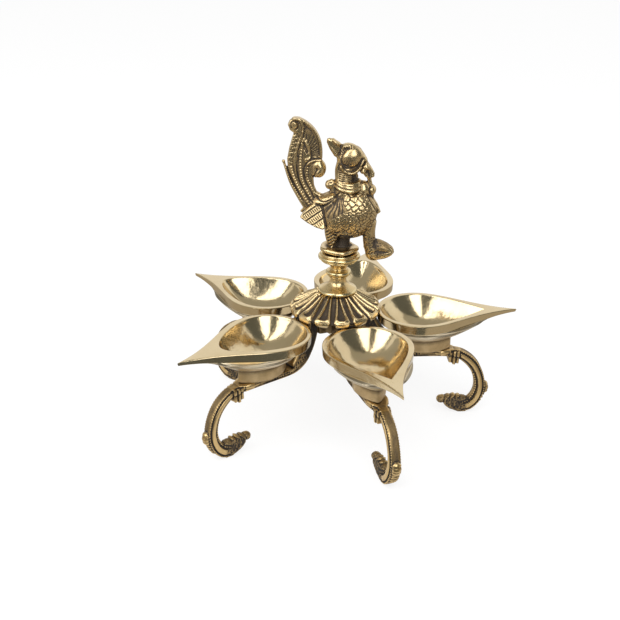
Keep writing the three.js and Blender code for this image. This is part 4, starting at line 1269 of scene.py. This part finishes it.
for k in ARMS:
    _, screw_high = heights(f"bowl_screw_{k}")
    piece(f"slotted_screw_{k}", *skin(screw_rings(screw_high)), [satin_brass], "hardware_brass",
          [f"bowl_screw_{k}"], arm_place(k), smooth=30)

# %% [markdown]
# ## The bird
# A crested bird with a tall curled tail, the sort that tops many such lamps, cast with its
# lobed plate. It is far too lively for one sweep. So its masses come first as balls, ropes and
# slabs and are melted together. Scales, barbs and hatching are pressed into the melted skin.

# %% The plate under the bird
BIRD_AT = np.array([1.5, 0.0, 99.5])  # mm, from the lamp's axis to the drawing's own zero


def plate_parts():
    """The lobed, wavy plate, the neck under it and the pin that goes down into the stem."""
    a = circle(120)
    rings = []
    for r, z, wave in [(6.5, -0.1, 0), (8.4, 0.0, 0.5), (9.7, 0.4, 0.8), (10.3, 1.0, 1),
                       (10.2, 2.0, 1), (9.6, 2.6, 1), (8.4, 2.8, 0.8), (7.0, 2.7, 0.4),
                       (3.0, 2.3, 0)]:
        out = r * (1 + 0.045 * wave * np.cos(5 * a + 0.5))
        swing = 0.28 * np.cos(3 * a + 1.6) - 0.03 * out * np.cos(a)
        rings.append(around(a, out, z + wave * swing))
    neck = [(0.5, -1.2), (5.6, -1.2), (6.1, 0.4), (6.0, 1.1), (0.5, 1.1)]
    pin = [(0.5, -5.7), (2.3, -5.7), (2.6, -5.4), (2.6, 1.1), (0.5, 1.1)]
    pin_rings = [r - (BIRD_AT[0], 0, 0) for r in spun(pin, circle(32))]
    return [skin(rings), skin(spun(neck, circle(40))), skin(pin_rings)]


# %% Body, neck and collar
def oval_stack(profile, centre, radii, droop, across=56):
    """Ovals one above the other, from (z, size) pairs, hanging lower at both sides: the collar."""
    a = circle(across)
    return skin([around(a, s, z - droop * np.sin(a) ** 2 - 0.5 * np.cos(a)) * (*radii, 1)
                 + (*centre, 0) for z, s in profile])


COLLAR = [(34.9, 1.0), (35.2, 1.13), (35.9, 1.18), (36.5, 1.13), (36.8, 1.03), (37.1, 1.03),
          (37.3, 1.1), (37.8, 1.08), (38.2, 1.05), (38.4, 0.98), (38.6, 0.98), (38.8, 1.03),
          (39.4, 0.99), (39.8, 0.9)]


def body_parts():
    parts = [
        ball((5.3, 0, 20.3), (14.1, 9.8, 13.2), across=48, up=32),
        ball((9.0, 0, 22.0), (11.0, 9.4, 11.5), across=40, up=24),
        rope(line([(2.4, 28.0), (2.6, 38.0), (3.6, 46.0)]), [(6.6, 6.4), (4.9, 4.9), (4.6, 4.6)],
             32),
        slab([(5, 38), (9.4, 37), (9.6, 41), (8, 45), (5, 45)], 3.4, 1.2),
        oval_stack(COLLAR, (4.4, 0), (6.7, 6.3), 1.7),
        ball((-5.2, 0, 36.2), (2.4, 2.7, 2.5)),
        rope(line([(-4, 37.5), (-3.2, 34), (-3.6, 30.5)]), [(1.8, 2.4), (1.8, 2.6), (2.6, 3)]),
        rope(line([(-3.0, 29.5), (-8.0, 27.6), (-13.5, 25.5)]),
             [(3.6, 6.4), (3.4, 5.2), (3.4, 3.0)]),
        rope(line([(-4.0, 27.0), (-8.5, 23.0), (-14.5, 19.5)]),
             [(4.0, 6.6), (3.6, 5.2), (2.6, 3.0)]),
    ]

    def haunch(side):
        yield ball((-0.6, side * 3.9, 19.5), (8.6, 5.6, 9.2), across=36, up=24)
        yield ball((3.5, side * 3.6, 12.8), (6.4, 4.6, 5.0), across=32, up=18)

    return parts + both_sides(haunch)


# %% Head, crest and beak
def head_parts():
    beak = [(10.0, 52.0), (12.6, 49.4), (15.4, 45.4), (18.0, 42.4), (17.8, 40.6), (15.4, 39.4),
            (13.0, 40.4), (11.9, 42.0), (9.4, 43.6)]
    crest = [(1.0, 57.6), (-1.9, 58.0), (-3.2, 59.7), (-5.3, 60.7), (-6.7, 60.3), (-6.9, 58.4),
             (-5.4, 55.0), (-3.0, 51.2), (-0.2, 49.5)]
    band = [(-1.4, 37.6), (-1.6, 44.0), (-0.5, 49.0), (0.3, 53.4), (2.4, 56.4), (6.2, 56.0),
            (10.2, 52.8), (12.8, 49.2)]
    parts = [
        ball((5.2, 0, 49.9), (6.9, 4.6, 7.4), across=40, up=24),
        rope(line(band), [(0.95, 2.5), (0.95, 2.5), (0.95, 2.5), (1.0, 2.5), (1.3, 3.0), (1.6, 3.2),
                          (1.7, 3.1), (1.4, 2.7)], 20, 60),
        slab(beak, 4.0, 1.4),
        rope(line([(11.2, 50.0), (14.2, 46.3), (16.5, 42.6), (16.2, 40.6)]),
             [(1.7, 2.3), (1.3, 2.1), (1.1, 1.7), (0.9, 1.2)]),
        slab(crest, 3.0, 1.2),
        rope(line([(-0.6, 57.6), (-2.4, 58.6), (-3.6, 59.9)]),
             [(0.9, 2.3), (1.0, 2.4), (0.7, 1.8)]),
        rope(line([(0.0, 49.6), (-2.4, 52.6), (-4.6, 56.0), (-6.2, 59.1)]),
             [(0.7, 1.9), (0.7, 1.9), (0.7, 1.7), (0.6, 1.2)]),
    ]

    def side_of_head(side):
        yield ball((6.0, 1.9 * side, 51.0), (6.1, 3.7, 5.2), -0.6, across=40, up=26)
        under = [(0.4, 46.9), (2.0, 44.6), (5.0, 43.2), (8.2, 44.0), (10.2, 46.2)]
        yield rope([(x, 4.0 * side, z) for x, z in under], [(0.8, 1.6)] * 5, 14, 30)
        for reach in (0.0, 1.9):
            yield rope([(9.4 + reach, 2.2 * side, 45.6 - reach * 0.5),
                        (11.0 + reach, 2.6 * side, 47.6 - reach * 0.5),
                        (12.0 + reach, 1.6 * side, 50.2 - reach * 1.3)], [(0.6, 0.9)] * 3, 12, 20)
        yield ball((13.4, 1.9 * side, 46.1), (1.8, 1.9, 1.6), across=18, up=12)
        yield ball((11.8, 2.1 * side, 43.9), (1.7, 1.9, 1.5), across=18, up=12)

    return parts + both_sides(side_of_head)


# %% The bead under the beak, and the leaf on the breast
def strand_parts():
    return [
        rope(line([(14.8, 40.6), (15.6, 37.2), (15.6, 32.8), (16.4, 28.6)]),
             [(1.0, 1.4), (1.2, 1.7), (1.8, 2.4), (1.6, 2.4)]),
        ball((16.2, 0, 33.4), (2.8, 3.4, 3.0)),
        ball((12.2, 0, 33.4), (4.2, 4.6, 5.0)),
        slab([(14.2, 31.0), (17.2, 30.2), (19.9, 26.0), (21.7, 21.6), (19.7, 20.2), (16.2, 24.4)],
             4.6, 1.5),
        rope(line([(15.6, 30.4), (18.6, 25.8), (20.9, 21.6)]),
             [(0.8, 2.8), (0.7, 2.9), (0.5, 1.2)]),
    ]


# %% Tail
TAIL_EDGE = [(-17.4, 23.1), (-20.2, 29.0), (-23.0, 34.9), (-25.2, 40.7), (-26.7, 45.2),
             (-27.1, 49.8), (-25.9, 56.0), (-24.4, 61.0), (-23.6, 63.4), (-25.6, 64.8),
             (-26.6, 67.6), (-25.5, 70.0), (-22.8, 70.9), (-20.1, 70.5), (-17.1, 68.9),
             (-14.1, 66.1), (-11.7, 62.2), (-10.2, 58.0), (-9.4, 54.0), (-9.4, 49.8), (-11.8, 45.5),
             (-13.6, 41.2), (-13.2, 36.1), (-11.8, 32.6), (-9.0, 31.2), (-5.0, 31.9), (-3.6, 24.0),
             (-9.0, 17.8)]


def tail_parts():
    crescent = [(-17.6, 41.0), (-18.0, 44.1), (-17.2, 46.8), (-15.0, 48.6), (-12.4, 49.4),
                (-9.8, 49.4)]
    return [
        slab(TAIL_EDGE, 3.6, 1.2),
        ball((-22.8, 0, 67.6), (3.5, 2.7, 3.2), across=36, up=22),
        slab([(-24.8, 65.4), (-22.0, 68.4), (-20.0, 68.4), (-19.2, 65.2), (-19.9, 62.0),
              (-22.6, 63.8)], 4.2, 1.0),
        rope(line([(-23.8, 70.4), (-20.0, 70.0), (-16.6, 68.0), (-13.6, 65.2), (-11.4, 61.6),
                   (-10.2, 57.6), (-9.8, 54.0), (-9.8, 50.4)]), [(0.85, 2.5)] * 8, 18, 80),
        rope(line([(-20.4, 70.0), (-19.3, 68.2), (-18.9, 65.0), (-19.1, 61.2), (-20.9, 54.6),
                   (-22.2, 49.4), (-22.5, 44.4), (-21.6, 39.4)]), [(0.6, 2.5)] * 7 + [(0.5, 1.9)],
             16, 60),
        ball((-10.9, 0, 44.8), (3.9, 3.9, 4.9), across=36, up=22),
        ball((-12.2, 0, 42.2), (2.4, 2.9, 2.0)),
        rope(line(crescent), [(0.7, 2.6)] * 6, 16),
        slab([(-18.3, 50.0), (-15.0, 51.2), (-14.6, 49.6), (-17.2, 47.6)], 4.6, 1.0),
        rope(line([(-16, 21.1), (-20.8, 28.9), (-25.4, 37.9), (-28.8, 48.4)]),
             [(1.1, 1.6), (1.0, 1.6), (0.9, 1.3), (0.6, 0.8)]),
        ball((-28.9, 0, 48.6), (0.9, 1.0, 0.9)),
    ]


# %% Wings
def wing_parts():
    outline = [(-20.6, 20.2), (-19.1, 22.4), (-15.2, 26.0), (-11.8, 28.0), (-8.8, 26.4),
               (-7.4, 21.0), (-7.0, 15.6), (-8.6, 14.2), (-12.3, 15.3), (-16.9, 17.6)]

    def one(side):
        v, f = slab(outline, 3.2, 0.9, side * 4.9)
        return [(v + np.outer(20.5 - v[:, 2], (0, 0.42 * side, 0)), f)]

    return both_sides(one)


# %% Legs and the raised foot
RAISED_Y = -1.6


def bird_leg_parts():
    parts = [
        rope(line([(-3.4, 14.0), (-3.9, 9.2), (-3.9, 5.0), (-3.4, 1.6)], -0.6),
             [(4.6, 5.0), (3.7, 4.0), (2.6, 3.2), (1.8, 2.6)], 28),
        rope(line([(3.0, 11.5), (2.4, 5.9), (2.0, 1.6)], 1.6), [(4.6, 4.6), (3.6, 3.8), (4.6, 4.4)],
             28),
        rope(line([(15.2, 16.5), (15.6, 10.4), (16.2, 5.0), (17.6, 1.4)], RAISED_Y),
             [(4.4, 4.6), (3.4, 3.9), (3.5, 4.0), (4.2, 4.4)], 28),
        ball((18.4, RAISED_Y, -0.9), (4.5, 4.4, 4.2)),
        rope(line([(17.4, 2.8), (21.0, 2.6), (24.6, 1.9), (27.3, 1.0)], RAISED_Y),
             [(4.6, 3.4), (4.0, 3.9), (2.9, 4.1), (1.8, 3.7)], 28),
    ]
    # Toes: four rounded ends side by side
    for step, reach in [(-3.0, 1.0), (-1.0, 0.2), (1.0, 0.2), (3.0, 1.0)]:
        y = RAISED_Y + step
        parts.append(rope(line([(19.5, -1.2), (24.0, -0.9), (28.0 - reach, 0.0)], y),
                          [(2.8, 1.15), (2.2, 1.2), (1.5, 1.05)], 16))
    return parts


# %% Melt the bird together
parts = plate_parts() + body_parts() + head_parts() + strand_parts() + tail_parts()
parts += wing_parts() + bird_leg_parts()
bird_mesh = melted([(v + BIRD_AT, f) for v, f in parts], "bird", 0.33)
print("bird vertices:", len(bird_mesh.vertices))

# %% Tail: ridges, rows of dots, barbs and the curl
# A line's numbers are its width, its height and how much it darkens (below 0 it lightens), and then
# comes its path
marks = Relief(bird_mesh, BIRD_AT, lean=(180.6, 477.0))
x, z = marks.flat.T


def spot(at_x, at_z, size):
    """1 at a place on the side view, fading away from it."""
    return np.exp(-((x - at_x) ** 2 + (z - at_z) ** 2) / size)


marks.stain_and_light -= 0.07 * smooth_step(z, 30.0, 34.0) * (x < -9)
marks.line(0.5, 0.5, -0.3, [(-22.8, 70.2), (-20.6, 69.6), (-19.5, 67.9), (-18.9, 66.2),
                            (-18.8, 64.4)])
marks.line(0.4, 0.45, -0.25, [(-19.0, 63.4), (-19.5, 61.6), (-20.5, 58.9), (-21.3, 57.0),
                              (-22.0, 54.6), (-22.9, 50.6), (-23.1, 46.0)])
marks.line(0.42, -0.6, 0.42, [(-18.3, 65.0), (-18.7, 61.3), (-19.8, 58.3), (-20.9, 55.6),
                              (-21.8, 51.4), (-22.2, 46.2), (-21.6, 40.0), (-18.9, 33.6)])
marks.line(0.4, 0.45, -0.3, [(-23.6, 68.2), (-22.8, 67.8), (-22.3, 66.4)])
marks.line(0.4, -0.45, 0.2, [(-22.4, 69.0), (-21.2, 67.8), (-21.4, 66.0), (-22.2, 65.0)])
marks.line(0.4, -0.3, 0.2, [(-24.6, 66.0), (-25.0, 68.0), (-23.6, 69.2)])
marks.line(0.7, 0.3, -0.22, [(-20.4, 70.3), (-16.2, 67.6), (-13.2, 64.2), (-11.2, 60.0),
                             (-10.3, 56.2), (-9.9, 51.2)])
marks.line(0.35, -0.4, 0.25, [(-18.8, 69.0), (-15.3, 66.2), (-12.7, 62.9), (-11.4, 59.4),
                              (-10.9, 56.2), (-10.6, 51.6)])
barbs = marks.inside([(-17.6, 67.0), (-14.8, 64.8), (-12.9, 61.4), (-11.6, 57.6), (-11.0, 53.6),
                      (-11.0, 50.6), (-14.4, 50.6), (-14.2, 54.0), (-15.9, 57.4), (-17.6, 60.6)])
marks.press(barbs, -0.2, 0.1)
marks.press(comb(39 * np.arctan2(z - 51.0, x + 18.2)) * barbs * np.clip((63.5 - z) / 4, 0, 1),
            -0.3, 0.24)
marks.line(0.4, 0.45, -0.2, [(-18.5, 59.6), (-17.2, 57.7), (-15.9, 56.2), (-15.4, 54.0),
                             (-15.6, 52.6)])
marks.line(0.4, -0.4, 0.32, [(-18.5, 58.0), (-17.8, 56.4), (-16.6, 53.6)])
marks.line(0.35, -0.3, 0.26, [(-18.3, 55.8), (-17.8, 54.2), (-17.0, 52.8)])
marks.line(0.45, -0.6, 0.42, [(-15.0, 55.0), (-14.8, 53.0), (-14.5, 50.6)])
marks.stain_and_light -= 0.22 * marks.inside([(-18.0, 47.8), (-18.0, 50.8), (-16.6, 52.0), (-14.8, 51.2),
                                    (-15.7, 49.8), (-17.2, 47.9)])
marks.line(0.42, -0.5, 0.34, [(-9.6, 49.9), (-12.5, 49.9), (-14.7, 49.4), (-17.0, 47.6),
                              (-18.3, 45.2), (-18.5, 42.4), (-17.8, 38.1), (-15.6, 33.6),
                              (-13.3, 29.2)])
marks.line(0.4, -0.45, 0.3, [(-21.7, 42.6), (-20.6, 37.2), (-17.2, 31.0), (-14.4, 26.8)])
marks.stipple(marks.inside([(-22.8, 64.0), (-24.0, 59.7), (-25.2, 55.0), (-26.2, 51.0),
                            (-26.6, 46.0), (-24.0, 46.0), (-23.2, 52.0), (-21.9, 57.0),
                            (-20.2, 62.5)]), 1.25, 0.4)
marks.dots(0.6, 1.45, 0.6, [(-25.1, 46.0), (-23.6, 39.9), (-21.2, 34.0), (-18.1, 29.0),
                            (-15.7, 25.0)])
marks.dots(0.6, 1.5, 0.5, [(-18.8, 59.4), (-19.5, 56.2), (-20.1, 51.4), (-20.3, 46.6),
                           (-20.0, 41.8), (-18.9, 36.8), (-17.1, 32.4), (-14.6, 28.0)])
marks.dots(0.52, 1.4, 0.5, [(-16.6, 45.6), (-17.0, 42.2), (-16.6, 39.0), (-15.2, 35.7),
                            (-13.3, 31.8)])
marks.dots(0.45, 1.3, 0.35, [(-28.2, 47.0), (-26.5, 40.8), (-23.7, 34.8), (-19.9, 27.8)])
marks.line(0.35, -0.35, 0.25, [(-27.2, 46.4), (-25.4, 40.0), (-22.6, 34.2), (-18.8, 27.4)])
pit = spot(-12.2, 44.2, 2.2) * marks.side
marks.press(pit, -1.1, 0.25)
marks.line(0.5, -0.5, 0.2, [(-12.0, 43.6), (-12.8, 42.0), (-13.4, 40.6)])
marks.line(0.6, 0.4, 0.0, [(-12.6, 40.6), (-13.0, 37.4), (-11.8, 34.0), (-9.6, 32.6), (-6.4, 32.6)])

# %% Back, wings and breast
marks.line(0.45, -0.5, 0.36, [(-11.7, 29.6), (-10.0, 27.3), (-7.3, 26.8), (-4.0, 28.5),
                              (-0.7, 31.3)])
marks.line(0.42, -0.45, 0.34, [(-12.2, 25.6), (-9.4, 24.2), (-7.3, 25.0), (-4.4, 27.0),
                               (-1.6, 29.8)])
marks.stipple(marks.inside([(-12.2, 31.4), (-10.0, 28.6), (-7.3, 27.8), (-4.0, 29.6), (-2.2, 31.4),
                            (-5.0, 33.4), (-9.4, 32.4)]), 1.25, 0.3)
wing = marks.inside([(-20.9, 18.0), (-19.1, 21.0), (-15.2, 24.6), (-11.8, 27.0), (-8.6, 24.4),
                     (-7.9, 18.0), (-7.6, 13.0), (-12.3, 12.8), (-17.2, 15.2)])
band = -0.578 * x + 0.816 * z
for start, end, depth in [(24.3, 26.5, 0.3), (20.3, 22.6, 0.22), (16.6, 18.8, 0.12)]:
    marks.strokes(wing * (band > start) * (band < end), 125, 1.15, depth)
for cut in (27.0, 23.4, 19.5):
    marks.press(np.exp(-((band - cut) / 0.36) ** 2) * wing, -0.5, 0.34)
marks.line(0.5, -0.5, 0.3, [(-8.9, 24.2), (-8.4, 20.4), (-7.7, 16.6), (-7.0, 12.6)])
plume = marks.inside([(-1.2, 29.8), (-8.0, 23.6), (-8.2, 19.0), (-4.6, 16.8), (1.6, 19.4),
                      (3.2, 25.0), (1.4, 30.0)])
marks.press(comb(34 * np.arctan2(z - 31.5, x - 0.5) + 0.5 * np.sin(z)) * plume, -0.12, 0.07)
marks.stain_and_light += 0.22 * plume
breast = marks.inside([(2.6, 31.0), (5.8, 31.4), (12.4, 33.4), (14.6, 28.4), (16.6, 23.8),
                       (12.0, 20.6), (4.4, 20.8), (2.2, 25.4)])
marks.scales(breast, 3.9, 2.7, 0.55)
# Painted highlight: the breast is made lighter, and by the same number smoother, for its white
# highlights
marks.stain_and_light -= 0.12 * breast
belly = marks.inside([(2.0, 20.8), (12.0, 20.6), (16.6, 23.8), (19.4, 19.6), (17.0, 12.0),
                      (12.0, 8.0), (2.0, 7.0), (-3.4, 9.6), (-6.6, 15.4), (-4.6, 17.0)])
marks.scales(belly, 2.9, 1.8, 0.34, 0.85)
# A painted highlight: a golden patch at the left of the belly
marks.stain_and_light -= 0.1 * spot(-0.6, 13.6, 16) * belly
marks.line(0.4, -0.4, 0.28, [(14.2, 30.6), (16.2, 26.4), (19.4, 21.4)])
marks.strokes(marks.inside([(14.6, 30.8), (17.6, 29.4), (20.6, 24.0), (21.4, 21.6), (19.6, 21.6),
                            (16.6, 26.2)]), -58, 1.3, 0.2)

# %% Head, neck and feet
EYE = np.array([5.8, 48.9])
off_eye = np.hypot(x - EYE[0], z - EYE[1])
angle = np.arctan2(z - EYE[1], x - EYE[0])
ring = (off_eye > 5.9) & (off_eye < 7.9) & (angle > math.radians(78)) & (angle < math.radians(160))
marks.press(comb(36 * angle) * ring * marks.side, -0.35, 0.22)
marks.press(ring * marks.side, -0.15, 0.08)
marks.line(0.42, -0.45, 0.32, [(2.1, 53.2), (0.9, 51.4), (0.5, 49.3), (0.8, 47.2), (1.6, 45.6),
                               (3.4, 44.8), (5.6, 44.8), (7.9, 45.6), (9.8, 47.4), (11.2, 49.6)])
dome = marks.inside([(2.1, 52.9), (0.8, 49.3), (1.6, 45.8), (4.4, 45.0), (7.9, 45.8), (11.0, 49.8),
                     (10.3, 52.6), (7.9, 54.1), (4.4, 54.4)])
marks.stipple(dome * (z < 50), 1.4, 0.12)
rough = np.exp(-((x - 3.4) ** 2 / 9 + (z - 47.0) ** 2 / 3.0)) * marks.side
marks.stain_and_light += 0.3 * rough
marks.stipple(rough, 1.2, 0.2)
marks.strokes(marks.inside([(-0.6, 44.0), (5.2, 42.0), (6.0, 37.4), (1.0, 36.6), (-0.8, 37.6)]), -8,
              1.05, 0.32, 0.25)
# Painted shade in the hollow under the head, behind the beak
marks.stain_and_light += 0.4 * marks.inside([(5.6, 43.0), (9.0, 43.2), (9.2, 38.8), (6.8, 36.8), (5.8, 38.0)])
# A painted highlight on the neck
marks.stain_and_light -= 0.3 * spot(3.9, 38.0, 1.6)
marks.line(0.4, -0.45, 0.34, [(11.4, 49.6), (10.0, 47.6), (9.0, 44.6)])
marks.line(0.4, -0.45, 0.36, [(12.7, 48.0), (11.3, 45.8), (10.2, 43.5)])
# Painted highlights on the two knobs of the beak
for at in ((11.8, 43.2), (13.4, 45.2)):
    marks.stain_and_light -= 0.35 * spot(*at, 1.4)
marks.line(0.55, 0.2, -0.3, [(14.0, 44.6), (16.2, 43.9), (17.8, 42.2)])
marks.line(0.65, -0.6, 0.4, [(14.3, 42.6), (14.9, 41.7), (14.9, 40.9)])
marks.line(0.5, 0.2, -0.25, [(13.4, 40.8), (15.3, 39.9), (17.2, 40.6)])
marks.line(0.9, 0.0, -0.18, [(-0.6, 50.9), (-1.3, 45.7), (-1.5, 39.0)])
marks.line(1.1, 0.0, -0.16, [(3.0, 57.0), (7.0, 55.8), (10.0, 53.4), (12.2, 50.4)])
marks.stain_and_light -= 0.1 * marks.inside([(-1.6, 57.6), (-6.2, 60.2), (-6.6, 58.0), (-3.0, 51.6),
                                   (-0.6, 50.6), (-0.2, 56.0)])
# A painted highlight along the collar's lower ring
marks.line(0.8, 0.0, -0.22, [(2.4, 33.2), (5.6, 33.0), (8.6, 34.0), (11.0, 35.4)])
marks.line(0.5, -0.4, 0.25, [(-0.8, 51.0), (0.0, 54.4), (0.6, 57.0)])
marks.line(0.45, -0.4, 0.25, [(-5.6, 34.8), (-5.9, 36.8), (-4.6, 37.2)])
marks.line(0.5, -0.4, 0.25, [(15.6, 31.8), (15.2, 33.4), (16.0, 34.6)])
feathered = marks.inside([(-7.8, 11.4), (-7.4, 6.6), (-5.6, 0.4), (-3.4, 1.2), (-0.9, 8.4),
                          (0.4, 11.2)])
marks.strokes(feathered, 14, 1.7, 0.4, 0.4)
marks.line(0.5, 0.35, 0.0, [(-3.6, 2.2), (-2.2, 5.4), (-0.4, 8.6), (1.4, 10.8)])
marks.line(0.45, -0.4, 0.3, [(-2.8, 1.6), (-1.4, 5.0), (0.6, 8.2)])
# The second leg behind is painted dark for the shade between the legs
marks.stain_and_light += 0.55 * marks.inside([(0.2, 8.6), (6.8, 8.4), (8.6, 5.0), (6.0, 1.0), (0.4, 0.8),
                                    (-1.0, 3.0)])
foot = marks.inside([(13.0, 9.0), (13.0, 1.0), (17.0, -4.8), (21.0, -4.6), (26.0, -1.2),
                     (27.0, 0.6), (22.6, 3.4), (19.4, 7.0)])
marks.stipple(foot * np.clip((24.0 - x) / 5, 0.25, 1), 1.5, 0.2)
marks.stain_and_light += 0.14 * foot * np.clip((25.0 - x) / 5, 0, 1)
marks.line(0.9, 0.0, -0.25, [(18.4, -3.0), (22.6, -3.2), (27.6, -2.0)])
plate = marks.inside([(-10.4, 5.0), (-10.4, 0.4), (-3.0, -3.4), (6.0, -4.4), (11.6, -1.0),
                      (11.4, 3.0), (6.4, 0.6), (-1.0, 1.4)])
# Painted light: the plate is made lighter for its lit top
marks.stain_and_light -= 0.2 * plate
toes = np.clip((marks.co[:, 0] - 20.5) / 2.5, 0, 1) * (marks.co[:, 2] < 3.0)
for y in (-2.05, 0.0, 2.05):
    share = toes * np.exp(-((marks.co[:, 1] - RAISED_Y - y) / 0.34) ** 2)
    marks.press(share / np.maximum(marks.side, 0.2), -0.5, 0.3)
marks.finish()

# The top of the raised foot gets painted shade and its far edge a painted highlight: the side view
# does not reach them
patina_and_light = recesses(bird_mesh)
on_top = (marks.co[:, 0] > 17.5) & (np.abs(marks.co[:, 2] - 2) < 5.5) & (marks.normals[:, 2] > 0.1)
far = smooth_step(marks.co[:, 1] - RAISED_Y, 1.6, 2.8)
patina_and_light += on_top * (0.2 - 0.5 * far)
bird_mesh.attributes["patina_and_light"].data.foreach_set("value", patina_and_light)
dressed(bird_mesh, "bird_figure", [carved_brass], "antique_brass", ["bird"],
        Matrix.Translation(AXIS))
